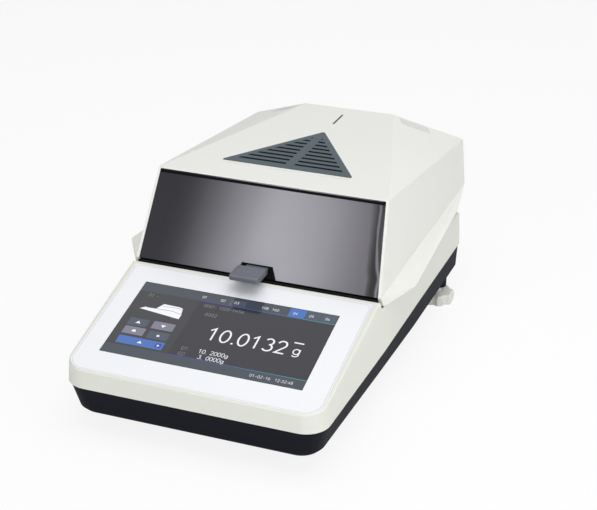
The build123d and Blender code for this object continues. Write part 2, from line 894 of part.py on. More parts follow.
# Posts from the lid's roof carry the heater plate and the hinge carriers.
heater_post_radius = 4.0
heater_post_half = 70.0
plate_front_at = 146.0
plate_rear_at = hinge_at - 20.0
plate_front_post_inset = 26.0
plate_rear_post_inset = 25.0
heater_post_ats = (plate_front_at + plate_front_post_inset, plate_rear_at - plate_rear_post_inset)
heater_post_places = [(side * heater_post_half, along(at)) for side in (-1, 1) for at in heater_post_ats]
carrier_post_halves = (50.5, 67.5)
carrier_post_ats = (hinge_at - 5.0, hinge_at + 21.0)
carrier_post_places = [
    (side * x, along(at)) for side in (-1, 1) for x in carrier_post_halves for at in carrier_post_ats
]
carrier_post_radius = 3.5
heater_plate_top = heater_plate_level + heater_plate_thickness
carrier_top = carrier_level + carrier_thickness
with BuildPart() as lid_posts:
    with BuildSketch(Plane.XY.offset(heater_plate_top)):
        with Locations(*heater_post_places):
            RegularPolygon(heater_post_radius, post_sides)
    extrude(amount=lid_top_front[2] - heater_plate_top)
    with BuildSketch(Plane.XY.offset(carrier_top)):
        with Locations(*carrier_post_places):
            RegularPolygon(carrier_post_radius, post_sides)
    extrude(amount=lid_top_front[2] - carrier_top)
    add(lid_middle, mode=Mode.INTERSECT)
    with BuildSketch(Plane.XY.offset(heater_plate_top)):
        with Locations(*heater_post_places):
            Circle(screw_radius)
    extrude(amount=screw_bite, mode=Mode.SUBTRACT)

# The window lies in the lid's front facet, whose plane starts at the facet's lower edge.
window_rise = lid_top_front[2] - lid_front_low[2]
window_lean = lid_top_front[1] - lid_front_low[1]
window_length = hypot(window_rise, window_lean)
window_plane = Plane(
    origin=(0, along(lid_front_low[1]), lid_front_low[2]),
    x_dir=(1, 0, 0),
    z_dir=(0, -window_rise / window_length, window_lean / window_length),
)
window_reach = 12.0


def window_outline(gap, low, depth=0, band=0):
    """The window's outline in its own plane, from a low edge up to the top rim."""
    low_half = lid_front_low[0] - window_rim - gap - band
    narrowing = (lid_front_low[0] - lid_top_front[0]) / window_length
    high = window_length - window_top_rim - gap - band
    with BuildSketch(window_plane.offset(-depth)) as outline:
        with BuildLine():
            Polyline(
                (low_half - narrowing * low, low),
                (low_half - narrowing * high, high),
                (narrowing * high - low_half, high),
                (narrowing * low - low_half, low),
                close=True,
            )
        make_face()
    return outline.sketch


lid_top_plane = Plane(
    origin=(0, along(lid_top_front[1]), lid_top_front[2]),
    x_dir=(1, 0, 0),
    z_dir=(0, lid_top_front[2] - lid_top_rear[2], lid_top_rear[1] - lid_top_front[1]),
)


def on_top(at):
    """Distance up the lid's top facet of a point that lies this far from the front."""
    return at - lid_top_front[1]


def grille_outline(inset, corner):
    """The grille's triangle on the top facet, its base towards the window."""
    height = grille_apex_at - grille_base_at
    slope = atan2(height, grille_half)
    base = on_top(grille_base_at) + inset
    half = grille_half - inset / tan(slope / 2)
    with BuildSketch(lid_top_plane) as outline:
        with BuildLine():
            Polyline((-half, base), (half, base), (0, base + half * tan(slope)), close=True)
        make_face()
        fillet(outline.vertices(), corner)
    return outline.sketch


# Slots for air in the two rear facets, parallel to the facets' rear edges.
side_louvre_start = 5.0
side_louvre_length = 27.0
side_louvre_inset = 4.5
side_louvre_pitch = 3.4
side_louvre_width = 1.4
side_louvre_count = 4
groove_length = 25.0
groove_places = (-40.5, 0.0, 40.5)
groove_at = 190.5
groove_width = 0.8
groove_depth = 0.4


def side_louvre_plane(side):
    """Plane of a rear facet, with X along the facet's rear edge away from the middle."""
    corners = lid_corners()
    if side < 0:
        corners = {name: flip(point) for name, point in corners.items()}
    edge = corners["shoulder"] - corners["top_rear"]
    normal = edge.cross(corners["top_front"] - corners["top_rear"])
    if normal.Z < 0:
        normal = -normal
    return Plane(origin=corners["top_rear"], x_dir=edge, z_dir=normal)


with BuildPart() as lid_shell:
    add(lid_form())
    add(lid_inside, mode=Mode.SUBTRACT)
    add(lid_posts)
    extrude(window_outline(0, -window_reach), amount=window_reach, both=True, mode=Mode.SUBTRACT)
    grille_seat = grille_proud - grille_thickness
    extrude(grille_outline(-fit_gap, grille_corner + fit_gap), amount=grille_seat, mode=Mode.SUBTRACT)
    extrude(grille_outline(grille_ledge, grille_corner), amount=-2 * lid_wall, mode=Mode.SUBTRACT)
    with BuildSketch(lid_top_plane):
        with Locations(*[(x, on_top(groove_at)) for x in groove_places]):
            Rectangle(groove_length, groove_width)
    extrude(amount=-groove_depth, mode=Mode.SUBTRACT)
    with BuildSketch(lid_top_plane):
        with Locations((0, on_top((slit_front_at + slit_rear_at) / 2))):
            Rectangle(slit_width, slit_rear_at - slit_front_at)
    extrude(amount=-2 * lid_wall, mode=Mode.SUBTRACT)
    for side in (-1, 1):
        with BuildSketch(side_louvre_plane(side)):
            for number in range(side_louvre_count):
                reach = side_louvre_inset + number * side_louvre_pitch
                with Locations((side_louvre_start + side_louvre_length / 2, -side * reach)):
                    Rectangle(side_louvre_length, side_louvre_width)
        extrude(amount=-2 * lid_wall, mode=Mode.SUBTRACT)
keep(lid_shell, "lid_shell")

# Window glass with its notch over the handle, and the black frame behind it.
with BuildPart() as lid_window:
    extrude(window_outline(fit_gap, 0, window_recess), amount=-window_thickness)
    with BuildSketch(window_plane):
        with BuildLine():
            Polyline(
                (-notch_base_half, -1),
                (notch_base_half, -1),
                (notch_top_half, notch_height),
                (-notch_top_half, notch_height),
                close=True,
            )
        make_face()
    extrude(amount=-window_recess - window_thickness, mode=Mode.SUBTRACT)
keep(lid_window, "lid_window")

frame_front = window_recess + window_thickness
frame_bar_low = 78.3
frame_bar_depth = 3.6
frame_bar_front_at = 132.8
frame_bar_half = 95.6
tongue_half = 18.0
tongue_height = 11.5
with BuildPart() as window_frame:
    extrude(window_outline(fit_gap, 0, frame_front), amount=-window_frame_depth)
    opening = window_outline(fit_gap, window_frame_band, frame_front, window_frame_band)
    extrude(opening, amount=-window_frame_depth, mode=Mode.SUBTRACT)
    with BuildSketch(window_plane.offset(-frame_front)):
        with Locations((0, tongue_height / 2)):
            Rectangle(2 * tongue_half, tongue_height)
    extrude(amount=-window_frame_depth)
    with BuildSketch(Plane.YZ):
        with BuildLine():
            lean, rise = window_lean / window_length, window_rise / window_length
            front = (lid_front_low[1] + frame_front * rise, lid_front_low[2] - frame_front * lean)
            Polyline(
                (along(front[0]), front[1]),
                (along(frame_bar_front_at), frame_bar_low),
                (along(frame_bar_front_at + frame_bar_depth), frame_bar_low),
                (along(frame_bar_front_at + frame_bar_depth), front[1]),
                close=True,
            )
        make_face()
    extrude(amount=frame_bar_half, both=True)
keep(window_frame, "window_frame")

handle_front_at = 104.2
handle_rear_at = 123.5
handle_half = 11.6
handle_top = 96.0
handle_thickness = 4.0
handle_round = 1.4
neck_half = 8.5
neck_front_at = 112.0
neck_low = 86.5
neck_high = 91.0
with BuildPart() as lid_handle:
    handle_low = handle_top - handle_thickness
    with BuildSketch(Plane.XY.offset(handle_low)):
        with Locations((0, along((handle_front_at + handle_rear_at) / 2))):
            RectangleRounded(2 * handle_half, handle_rear_at - handle_front_at, 2.5)
    extrude(amount=handle_thickness)
    fillet(lid_handle.edges().group_by(Axis.Z)[-1], handle_round)
    with BuildSketch(Plane.YZ):
        with BuildLine():
            seat = [
                (
                    lid_front_low[1] + frame_front / rise + (level - lid_front_low[2]) * lean / rise,
                    level,
                )
                for level in (neck_low, neck_high)
            ]
            Polyline(
                (along(neck_front_at), handle_low + 0.5),
                (along(neck_front_at + 2), handle_low - 3),
                (along(neck_front_at + 7), neck_low),
                (along(seat[0][0]), seat[0][1]),
                (along(seat[1][0]), seat[1][1]),
                (along(handle_rear_at - 1), handle_low + 0.5),
                close=True,
            )
        make_face()
    extrude(amount=neck_half, both=True)
keep(lid_handle, "lid_handle")

# Grille: a triangular plate with a middle rib and slanted louvres.
louvre_lean = 25.0
with BuildPart() as vent_grille:
    extrude(grille_outline(0, grille_corner), amount=grille_proud)
    extrude(grille_outline(0, grille_corner), amount=grille_proud - grille_thickness)
    with BuildSketch(lid_top_plane.offset(grille_proud)):
        for number in range(louvre_count):
            place = on_top(grille_base_at) + louvre_start + number * louvre_pitch
            with Locations((0, place)):
                Rectangle(2 * grille_half, louvre_slot)
        Rectangle(grille_rib, 4 * grille_half + 2 * grille_apex_at, mode=Mode.SUBTRACT)
        slotted = grille_outline(grille_frame, grille_corner / 3)
        add(lid_top_plane.to_local_coords(slotted), mode=Mode.INTERSECT)
    lean = radians(louvre_lean)
    inward = lid_top_plane.y_dir * sin(lean) - lid_top_plane.z_dir * cos(lean)
    extrude(amount=2 * grille_thickness, dir=inward, mode=Mode.SUBTRACT)
keep(vent_grille, "vent_grille")

# Heater: plate, reflector, ring lamp in two holders, protective glass and a sensor.
lens_seat = 1.5
with BuildPart() as heater_plate:
    with BuildSketch(Plane.XY.offset(heater_plate_level)):
        with Locations((0, along((plate_front_at + plate_rear_at) / 2))):
            Rectangle(2 * lid_front_low[0], plate_rear_at - plate_front_at)
        with Locations((0, along(chamber_at))):
            Circle(heater_hole_radius, mode=Mode.SUBTRACT)
        with Locations(*heater_post_places):
            Circle(screw_radius + fit_gap, mode=Mode.SUBTRACT)
    extrude(amount=heater_plate_thickness)
    add(lid_inside, mode=Mode.INTERSECT)
keep(heater_plate, "heater_plate")

with BuildPart() as heater_screws:
    with BuildSketch(Plane.XY.offset(heater_plate_level - screw_head_height)):
        with Locations(*heater_post_places):
            Circle(screw_head_radius)
    extrude(amount=screw_head_height)
    with BuildSketch(Plane.XY.offset(heater_plate_level)):
        with Locations(*heater_post_places):
            Circle(screw_radius)
    extrude(amount=heater_plate_thickness + screw_bite - 1)
keep(heater_screws, "heater_screws")

sensor_radius = 2.0
reflector_top_radius = 50.0
reflector_flange = 8.0
with BuildPart() as reflector:
    with BuildSketch(Plane.XZ):
        with BuildLine():
            Polyline(
                (heater_hole_radius + reflector_flange, heater_plate_top),
                (heater_hole_radius, heater_plate_top),
                (reflector_top_radius, reflector_top - reflector_skin),
                (sensor_radius + fit_gap, reflector_top - reflector_skin),
                (sensor_radius + fit_gap, reflector_top),
                (reflector_top_radius + reflector_skin, reflector_top),
                (heater_hole_radius + reflector_skin, heater_plate_top + reflector_skin),
                (heater_hole_radius + reflector_flange, heater_plate_top + reflector_skin),
                close=True,
            )
        make_face()
    revolve(axis=Axis.Z)
reflector.part = reflector.part.moved(Location((0, along(chamber_at), 0)))
keep(reflector, "reflector")

lamp_gap_angle = 40.0
lamp_tube_sides = 12
with BuildPart() as halogen_lamp:
    with BuildSketch(Plane.XZ):
        with Locations((lamp_ring_radius, lamp_level)):
            RegularPolygon(lamp_tube_radius, lamp_tube_sides)
    revolve(axis=Axis.Z, revolution_arc=360 - lamp_gap_angle)
lamp_turn = 90 + lamp_gap_angle / 2
halogen_lamp.part = halogen_lamp.part.moved(Location((0, along(chamber_at), 0), (0, 0, lamp_turn)))
keep(halogen_lamp, "halogen_lamp")

holder_width = 11.0
with BuildPart() as lamp_clearance:
    with BuildSketch(Plane.XZ):
        with Locations((lamp_ring_radius, lamp_level)):
            RegularPolygon(lamp_tube_radius + fit_gap, lamp_tube_sides)
    revolve(axis=Axis.Z)
lamp_clearance.part = lamp_clearance.part.moved(Location((0, along(chamber_at), 0)))
with BuildPart() as lamp_holders:
    with BuildSketch(Plane.XY.offset(lamp_level - lamp_tube_radius - 1)):
        with Locations((0, along(chamber_at))):
            with PolarLocations(
                lamp_ring_radius, 2, start_angle=90 - lamp_gap_angle / 2, angular_range=2 * lamp_gap_angle
            ):
                Rectangle(holder_width, holder_width)
    extrude(amount=reflector_top - reflector_skin - lamp_level + lamp_tube_radius + 1)
    add(lamp_clearance.part, mode=Mode.SUBTRACT)
keep(lamp_holders, "lamp_holders")

glass_low = heater_plate_level - lens_seat
with BuildPart() as heater_glass:
    with BuildSketch(Plane.XY.offset(glass_low)):
        with Locations((0, along(chamber_at))):
            Circle(glass_radius)
    extrude(amount=glass_thickness)
keep(heater_glass, "heater_glass")

ring_overlap = 4.0
glass_ring_width = 8.0
with BuildPart() as glass_ring:
    with BuildSketch(Plane.XY.offset(glass_low - lens_seat)):
        with Locations((0, along(chamber_at))):
            Circle(glass_radius + glass_ring_width)
            Circle(glass_radius - ring_overlap, mode=Mode.SUBTRACT)
    extrude(amount=2 * lens_seat)
    with BuildSketch(Plane.XY.offset(glass_low)):
        with Locations((0, along(chamber_at))):
            Circle(glass_radius + fit_gap)
    extrude(amount=lens_seat, mode=Mode.SUBTRACT)
keep(glass_ring, "glass_ring")

sensor_collar_radius = 4.0
sensor_low = glass_low + glass_thickness + 1.0
sensor_head = 5.0
with BuildPart() as temperature_sensor:
    with BuildSketch(Plane.XY.offset(sensor_low)):
        with Locations((0, along(chamber_at))):
            Circle(sensor_radius)
    extrude(amount=reflector_top - sensor_low)
    with BuildSketch(Plane.XY.offset(reflector_top)):
        with Locations((0, along(chamber_at))):
            Circle(sensor_collar_radius)
    extrude(amount=sensor_head)
keep(temperature_sensor, "temperature_sensor")

# Lid hinge: brackets of the base, pins, carriers of the lid, and the drive that turns the lid.
bracket_low = foot_height + tray_wall
bracket_foot = 12.0
bracket_foot_thickness = 3.0
eye_radius = 9.0
arm_front_level = 79.0
arm_back_level = 73.6
arm_low_angle = -71.0
arm_high_angle = 113.0
ear_radius = 8.0
carrier_ear_x = bracket_inner_x + bracket_thickness + side_gap
hinge_gear_inner_x = 54.3
inner_ear_x = hinge_gear_inner_x - 2 * side_gap - ear_thickness
pin_head = 1.2
pin_end = 1.4
pin_low_x = inner_ear_x - side_gap - pin_end
pin_high_x = carrier_ear_x + ear_thickness + side_gap


def side_plane(x):
    """Upright plane at a given X whose own X is the object's Y."""
    return Plane.YZ.offset(x)


def eye_point(angle):
    """A point at the rim of the hinge eye, where an edge of the arm meets it."""
    reach = eye_radius - running_gap
    return (
        along(hinge_at) + reach * cos(radians(angle)),
        hinge_level + reach * sin(radians(angle)),
    )


def hinge_bracket(side):
    """Upright arm from the tray through the deck to the hinge eye."""
    with BuildPart() as arm:
        with BuildSketch(side_plane(side * bracket_inner_x)):
            with BuildLine():
                Polyline(
                    (along(bracket_front_at), bracket_low),
                    (along(bracket_back_at), bracket_low),
                    (along(bracket_back_at), arm_back_level),
                    eye_point(arm_low_angle),
                    eye_point(arm_high_angle),
                    (along(bracket_front_at), arm_front_level),
                    close=True,
                )
            make_face()
            with Locations((along(hinge_at), hinge_level)):
                Circle(eye_radius)
                Circle(hinge_pin_radius, mode=Mode.SUBTRACT)
        extrude(amount=side * bracket_thickness)
        with BuildSketch(Plane.XY.offset(bracket_low)):
            with Locations(
                (
                    side * (bracket_inner_x + bracket_thickness - (bracket_foot + bracket_thickness) / 2),
                    along((bracket_front_at + bracket_back_at) / 2),
                )
            ):
                Rectangle(bracket_foot + bracket_thickness, bracket_back_at - bracket_front_at)
        extrude(amount=bracket_foot_thickness)
    return arm


hinge_bracket_right = hinge_bracket(1)
keep(hinge_bracket_right, "hinge_bracket_right")
hinge_bracket_left = hinge_bracket(-1)
keep(hinge_bracket_left, "hinge_bracket_left")

with BuildPart() as hinge_pins:
    for side in (-1, 1):
        with BuildSketch(side_plane(side * pin_low_x)):
            with Locations((along(hinge_at), hinge_level)):
                Circle(hinge_pin_radius)
        extrude(amount=side * (pin_high_x - pin_low_x))
        with BuildSketch(side_plane(side * pin_high_x)):
            with Locations((along(hinge_at), hinge_level)):
                Circle(1.5 * hinge_pin_radius)
        extrude(amount=side * pin_head)
keep(hinge_pins, "hinge_pins")

clip_width = 0.8
with BuildPart() as pin_clips:
    for side in (-1, 1):
        with BuildSketch(side_plane(side * (inner_ear_x - side_gap))):
            with Locations((along(hinge_at), hinge_level)):
                Circle(1.6 * hinge_pin_radius)
                Circle(hinge_pin_radius, mode=Mode.SUBTRACT)
        extrude(amount=-side * clip_width)
keep(pin_clips, "pin_clips")


def involute(angle):
    """Involute function of a pressure angle, both in radians."""
    return tan(angle) - angle


def gear_tooth(teeth, turn):
    """Outline of one involute tooth about the origin, pointing at an angle in degrees."""
    pitch = gear_module * teeth / 2
    base = pitch * cos(radians(pressure_angle))
    root, tip = pitch - 1.25 * gear_module, pitch + gear_module
    middle = pi / (2 * teeth) - backlash / (2 * pitch) + involute(radians(pressure_angle))
    flank = []
    steps = 4
    low = max(base, root)
    for step in range(steps + 1):
        radius = low + (tip - low) * step / steps
        flank.append((radius, middle - involute(acos(min(1, base / radius)))))
    flank.insert(0, (root - 0.3, flank[0][1]))
    points = [(radius, radians(turn) + angle) for radius, angle in flank]
    points += [(radius, radians(turn) - angle) for radius, angle in reversed(flank)]
    return [(radius * cos(angle), radius * sin(angle)) for radius, angle in points]


def gear_outline(teeth, turn, place, x):
    """Toothed wheel's outline on an upright plane, with its teeth turned by an angle."""
    with BuildSketch(side_plane(x)) as outline:
        with Locations(place):
            Circle(gear_module * (teeth / 2 - 1.25))
        for number in range(teeth):
            corners = gear_tooth(teeth, turn + 360 * number / teeth)
            with BuildLine():
                Polyline(*[(place[0] + y, place[1] + z) for y, z in corners], close=True)
            make_face()
    return outline.sketch


hinge_place = (along(hinge_at), hinge_level)
gear_distance = gear_module * (hinge_gear_teeth + pinion_teeth) / 2 + gear_play
pinion_place = (
    hinge_place[0] + gear_distance * cos(radians(pinion_direction)),
    hinge_place[1] + gear_distance * sin(radians(pinion_direction)),
)
with BuildPart() as hinge_gear:
    extrude(
        gear_outline(hinge_gear_teeth, pinion_direction, hinge_place, hinge_gear_inner_x),
        amount=bracket_inner_x - hinge_gear_inner_x,
    )
    with BuildSketch(side_plane(hinge_gear_inner_x)):
        with Locations(hinge_place):
            Circle(hinge_pin_radius)
    extrude(amount=bracket_inner_x - hinge_gear_inner_x, mode=Mode.SUBTRACT)
keep(hinge_gear, "hinge_gear")

with BuildPart() as hinge_collar:
    with BuildSketch(side_plane(-bracket_inner_x)):
        with Locations(hinge_place):
            Circle(2 * hinge_pin_radius)
            Circle(hinge_pin_radius, mode=Mode.SUBTRACT)
    extrude(amount=bracket_inner_x - hinge_gear_inner_x)
keep(hinge_collar, "hinge_collar")

pinion_x = hinge_gear_inner_x + 0.2
shaft_start_x = 39.0
with BuildPart() as drive_pinion:
    half_tooth = 180 / pinion_teeth
    extrude(
        gear_outline(pinion_teeth, pinion_direction + 180 + half_tooth, pinion_place, pinion_x),
        amount=pinion_width,
    )
    with BuildSketch(side_plane(shaft_start_x)):
        with Locations(pinion_place):
            Circle(motor_shaft_radius)
    extrude(amount=pinion_x - shaft_start_x)
keep(drive_pinion, "drive_pinion")

gearbox_start_x = 28.0
gearbox_end_x = 46.0
gearbox_radius = 11.5
motor_radius = 10.0
nose_radius = 3.5
motor_plate_thickness = 2.0
motor_plate_front_at = hinge_at + 7.0
motor_plate_rear_at = hinge_at + 29.0
motor_plate_low = 87.0
with BuildPart() as lid_motor:
    with BuildSketch(side_plane(gearbox_start_x)):
        with Locations(pinion_place):
            Circle(gearbox_radius)
    extrude(amount=gearbox_end_x - gearbox_start_x)
    with BuildSketch(side_plane(gearbox_end_x)):
        with Locations(pinion_place):
            Circle(nose_radius)
    extrude(amount=motor_plate_thickness)
    with BuildSketch(Plane.YZ):
        with Locations(pinion_place):
            Circle(motor_radius)
    extrude(amount=gearbox_start_x)
    with BuildSketch(side_plane(shaft_start_x - 1)):
        with Locations(pinion_place):
            Circle(motor_shaft_radius + running_gap)
    extrude(amount=gearbox_end_x, mode=Mode.SUBTRACT)
keep(lid_motor, "lid_motor")

with BuildPart() as motor_bracket:
    with BuildSketch(side_plane(gearbox_end_x)):
        middle_at = (motor_plate_front_at + motor_plate_rear_at) / 2
        with Locations((along(middle_at), (carrier_level + motor_plate_low) / 2)):
            Rectangle(motor_plate_rear_at - motor_plate_front_at, carrier_level - motor_plate_low)
        with Locations(pinion_place):
            Circle(nose_radius, mode=Mode.SUBTRACT)
    extrude(amount=motor_plate_thickness)
keep(motor_bracket, "motor_bracket")

web_front_at = hinge_at - 12.0
web_rear_at = hinge_at + 30.0
web_margin = 4.0


def hinge_carrier(side):
    """The lid's half of a hinge: a web under the roof posts with two ears that hang from it."""
    with BuildPart() as carrier:
        web_inner = gearbox_end_x
        web_outer = carrier_ear_x + ear_thickness + web_margin
        with BuildSketch(Plane.XY.offset(carrier_level)):
            with Locations((side * (web_inner + web_outer) / 2, along((web_front_at + web_rear_at) / 2))):
                Rectangle(web_outer - web_inner, web_rear_at - web_front_at)
        extrude(amount=carrier_thickness)
        for start in (inner_ear_x, carrier_ear_x):
            with BuildSketch(side_plane(side * start)):
                with Locations(hinge_place):
                    Circle(ear_radius)
                with Locations((hinge_place[0], (hinge_level + carrier_level) / 2)):
                    Rectangle(2 * ear_radius, carrier_level - hinge_level)
                with Locations(hinge_place):
                    Circle(hinge_pin_radius + running_gap, mode=Mode.SUBTRACT)
            extrude(amount=side * ear_thickness)
    return carrier


hinge_carrier_right = hinge_carrier(1)
keep(hinge_carrier_right, "hinge_carrier_right")
hinge_carrier_left = hinge_carrier(-1)
keep(hinge_carrier_left, "hinge_carrier_left")

underplate_front_at = hinge_at - 14.0
underplate_notch_rear_at = hinge_at + 19.0
underplate_thickness = 1.5
arm_room = 3.0
with BuildPart() as lid_underplate:
    with BuildSketch(Plane.XY.offset(deck_level + lid_gap)):
        with Locations((0, along((underplate_front_at + overall_depth) / 2))):
            Rectangle(3 * rear_half, overall_depth - underplate_front_at)
        for x in bracket_centres:
            with Locations((x, along(underplate_front_at))):
                Rectangle(
                    bracket_thickness + 2 * arm_room,
                    2 * (underplate_notch_rear_at - underplate_front_at),
                    mode=Mode.SUBTRACT,
                )
    extrude(amount=underplate_thickness)
    add(lid_inside, mode=Mode.INTERSECT)
keep(lid_underplate, "lid_underplate")

# Feet: two rubber feet in front, two levelling feet behind.
front_foot_low_radius = 8.5
front_foot_high_radius = 10.0
with BuildPart() as front_feet:
    with BuildSketch(Plane.XY):
        with Locations(*front_foot_places):
            Circle(front_foot_low_radius)
    foot_flare = degrees(atan2(front_foot_high_radius - front_foot_low_radius, foot_height))
    extrude(amount=foot_height, taper=-foot_flare)
keep(front_feet, "front_feet")

with BuildPart() as foot_inserts:
    with BuildSketch(Plane.XY.offset(foot_height - foot_boss_drop)):
        with Locations(*rear_foot_places):
            Circle(insert_radius)
            Circle(stud_radius + running_gap, mode=Mode.SUBTRACT)
    extrude(amount=insert_top - foot_height + foot_boss_drop)
keep(foot_inserts, "foot_inserts")

stud_top = 29.0
knob_bevel = 1.5
scallop_offset = 3.0
scallop_radius = 4.6
knob_recess = 2.0
pad_gap = 0.3


def foot_knob(side):
    """Knurled levelling knob with its threaded stud."""
    place = (side * rear_foot_half, along(rear_foot_at))
    with BuildPart() as knob:
        with BuildSketch(Plane.XY.offset(knob_low)):
            with Locations(place):
                Circle(knob_radius)
                with PolarLocations(knob_radius + scallop_offset, knob_lobes):
                    Circle(scallop_radius, mode=Mode.SUBTRACT)
        extrude(amount=knob_high - knob_low)
        chamfer(knob.edges().group_by(Axis.Z)[-1], knob_bevel)
        with BuildSketch(Plane.XY.offset(knob_high)):
            with Locations(place):
                Circle(stud_radius)
        extrude(amount=stud_top - knob_high)
        with BuildSketch(Plane.XY.offset(knob_low)):
            with Locations(place):
                Circle(pad_radius + pad_gap)
        extrude(amount=knob_recess, mode=Mode.SUBTRACT)
        with BuildSketch(Plane.XY.offset(knob_low)):
            with Locations(place):
                Circle(pad_pin_radius + running_gap)
        extrude(amount=pad_pin_top - knob_low + pad_gap, mode=Mode.SUBTRACT)
    return knob


def foot_pad(side):
    """Swivelling pad under a knob, with its pin."""
    place = (side * rear_foot_half, along(rear_foot_at))
    with BuildPart() as pad:
        with BuildSketch(Plane.XY):
            with Locations(place):
                Circle(pad_radius)
        extrude(amount=pad_thickness)
        with BuildSketch(Plane.XY.offset(pad_thickness)):
            with Locations(place):
                Circle(pad_pin_radius)
        extrude(amount=pad_pin_top - pad_thickness)
    return pad


foot_knob_right = foot_knob(1)
keep(foot_knob_right, "foot_knob_right")
foot_knob_left = foot_knob(-1)
keep(foot_knob_left, "foot_knob_left")
foot_pad_right = foot_pad(1)
keep(foot_pad_right, "foot_pad_right")
foot_pad_left = foot_pad(-1)
keep(foot_pad_left, "foot_pad_left")

with BuildPart() as case_screws:
    with BuildSketch(Plane.XY.offset(foot_height + screw_seat - screw_head_height)):
        with Locations(*post_places):
            Circle(screw_head_radius)
    extrude(amount=screw_head_height)
    with BuildSketch(Plane.XY.offset(foot_height + screw_seat)):
        with Locations(*post_places):
            Circle(screw_radius)
    extrude(amount=parting_level + screw_bite - 1 - foot_height - screw_seat)
keep(case_screws, "case_screws")

# Rear panel with mains inlet, switch and data ports.
socket_x = -28.0
socket_flange = (46.0, 20.0)
socket_flange_thickness = 2.0
socket_body = (27.0, 18.4)
socket_cavity = (24.2, 15.6)
socket_depth = 22.0
socket_corner = 3.0
socket_cavity_depth = 16.0
socket_cavity_bevel = 4.0
blade_size = (2.0, 4.0)
blade_length = 11.0
blade_spread = 7.0
blade_drop = 1.0
earth_rise = 3.0
switch_x = 6.0
switch_flange = (21.0, 15.0)
switch_body = (19.0, 13.0)
switch_cavity = (17.4, 11.2)
switch_depth = 14.0
switch_cavity_depth = 10.0
data_x = 33.0
data_flange = (31.0, 12.5)
data_cutout = (19.0, 10.5)
data_shell = (17.0, 8.4)
data_shell_skin = 0.7
data_shell_angle = 80
data_shell_proud = 6.0
data_shell_length = 14.0
data_socket_depth = 3.5
data_flange_thickness = 1.0
usb_x = 60.0
usb_size = (13.4, 6.0)
usb_proud = 0.4
usb_skin = 0.4
usb_depth = 14.0
usb_mouth_depth = 9.0
usb_tongue = (11.0, 1.6)
usb_tongue_length = 8.0
usb_tongue_rise = 1.0


def rear_plane(at):
    """Upright plane that faces forward into the housing; its X is the object's X."""
    return Plane.XZ.offset(-along(at))


panel_inner_at = rear_panel_at - rear_panel_thickness
with BuildPart() as rear_panel:
    extrude(rear_outline(rear_panel_ledge, rear_panel_at, rear_panel_corner), amount=rear_panel_thickness)
    with BuildSketch(rear_plane(rear_panel_at)):
        cutouts = ((socket_x, socket_body), (switch_x, switch_body), (data_x, data_cutout), (usb_x, usb_size))
        for x, size in cutouts:
            with Locations((x, socket_level)):
                Rectangle(size[0] + 2 * fit_gap, size[1] + 2 * fit_gap)
    extrude(amount=rear_panel_thickness, mode=Mode.SUBTRACT)
keep(rear_panel, "rear_panel")

with BuildPart() as power_inlet:
    outer_at = rear_panel_at + socket_flange_thickness
    with BuildSketch(rear_plane(outer_at)):
        with Locations((socket_x, socket_level)):
            RectangleRounded(*socket_flange, socket_corner)
    extrude(amount=socket_flange_thickness)
    with BuildSketch(rear_plane(outer_at)):
        with Locations((socket_x, socket_level)):
            Rectangle(*socket_body)
    extrude(amount=socket_depth)
    with BuildSketch(rear_plane(outer_at)) as mouth:
        with Locations((socket_x, socket_level)):
            Rectangle(*socket_cavity)
        chamfer(mouth.vertices().group_by(Axis.Z)[-1], socket_cavity_bevel)
    extrude(amount=socket_cavity_depth, mode=Mode.SUBTRACT)
    with BuildSketch(rear_plane(outer_at - socket_cavity_depth)):
        for x, rise in ((-blade_spread, -blade_drop), (blade_spread, -blade_drop), (0, earth_rise)):
            with Locations((socket_x + x, socket_level + rise)):
                Rectangle(*blade_size)
    extrude(amount=-blade_length)
keep(power_inlet, "power_inlet")

rocker_pivot_radius = 1.5
rocker_pivot_depth = 5.0
rocker_gap = 0.3
rocker_tilt = 10.0
switch_proud = 1.5
switch_stub = 1.2
switch_face_at = rear_panel_at + switch_proud
with BuildPart() as switch_housing:
    with BuildSketch(rear_plane(switch_face_at)):
        with Locations((switch_x, socket_level)):
            RectangleRounded(*switch_flange, 1)
    extrude(amount=switch_face_at - rear_panel_at)
    with BuildSketch(rear_plane(switch_face_at)):
        with Locations((switch_x, socket_level)):
            Rectangle(*switch_body)
    extrude(amount=switch_depth)
    with BuildSketch(rear_plane(switch_face_at)):
        with Locations((switch_x, socket_level)):
            Rectangle(*switch_cavity)
    extrude(amount=switch_cavity_depth, mode=Mode.SUBTRACT)
    with BuildSketch(Plane.XY.offset(socket_level)):
        with Locations((switch_x, along(switch_face_at - rocker_pivot_depth))):
            Circle(rocker_pivot_radius)
    extrude(amount=switch_body[1] / 2, both=True)
    with BuildSketch(Plane.XY.offset(socket_level)):
        with Locations((switch_x, along(switch_face_at - rocker_pivot_depth))):
            Circle(rocker_pivot_radius + running_gap)
    extrude(amount=switch_cavity[1] / 2 - switch_stub, both=True, mode=Mode.SUBTRACT)
keep(switch_housing, "switch_housing")

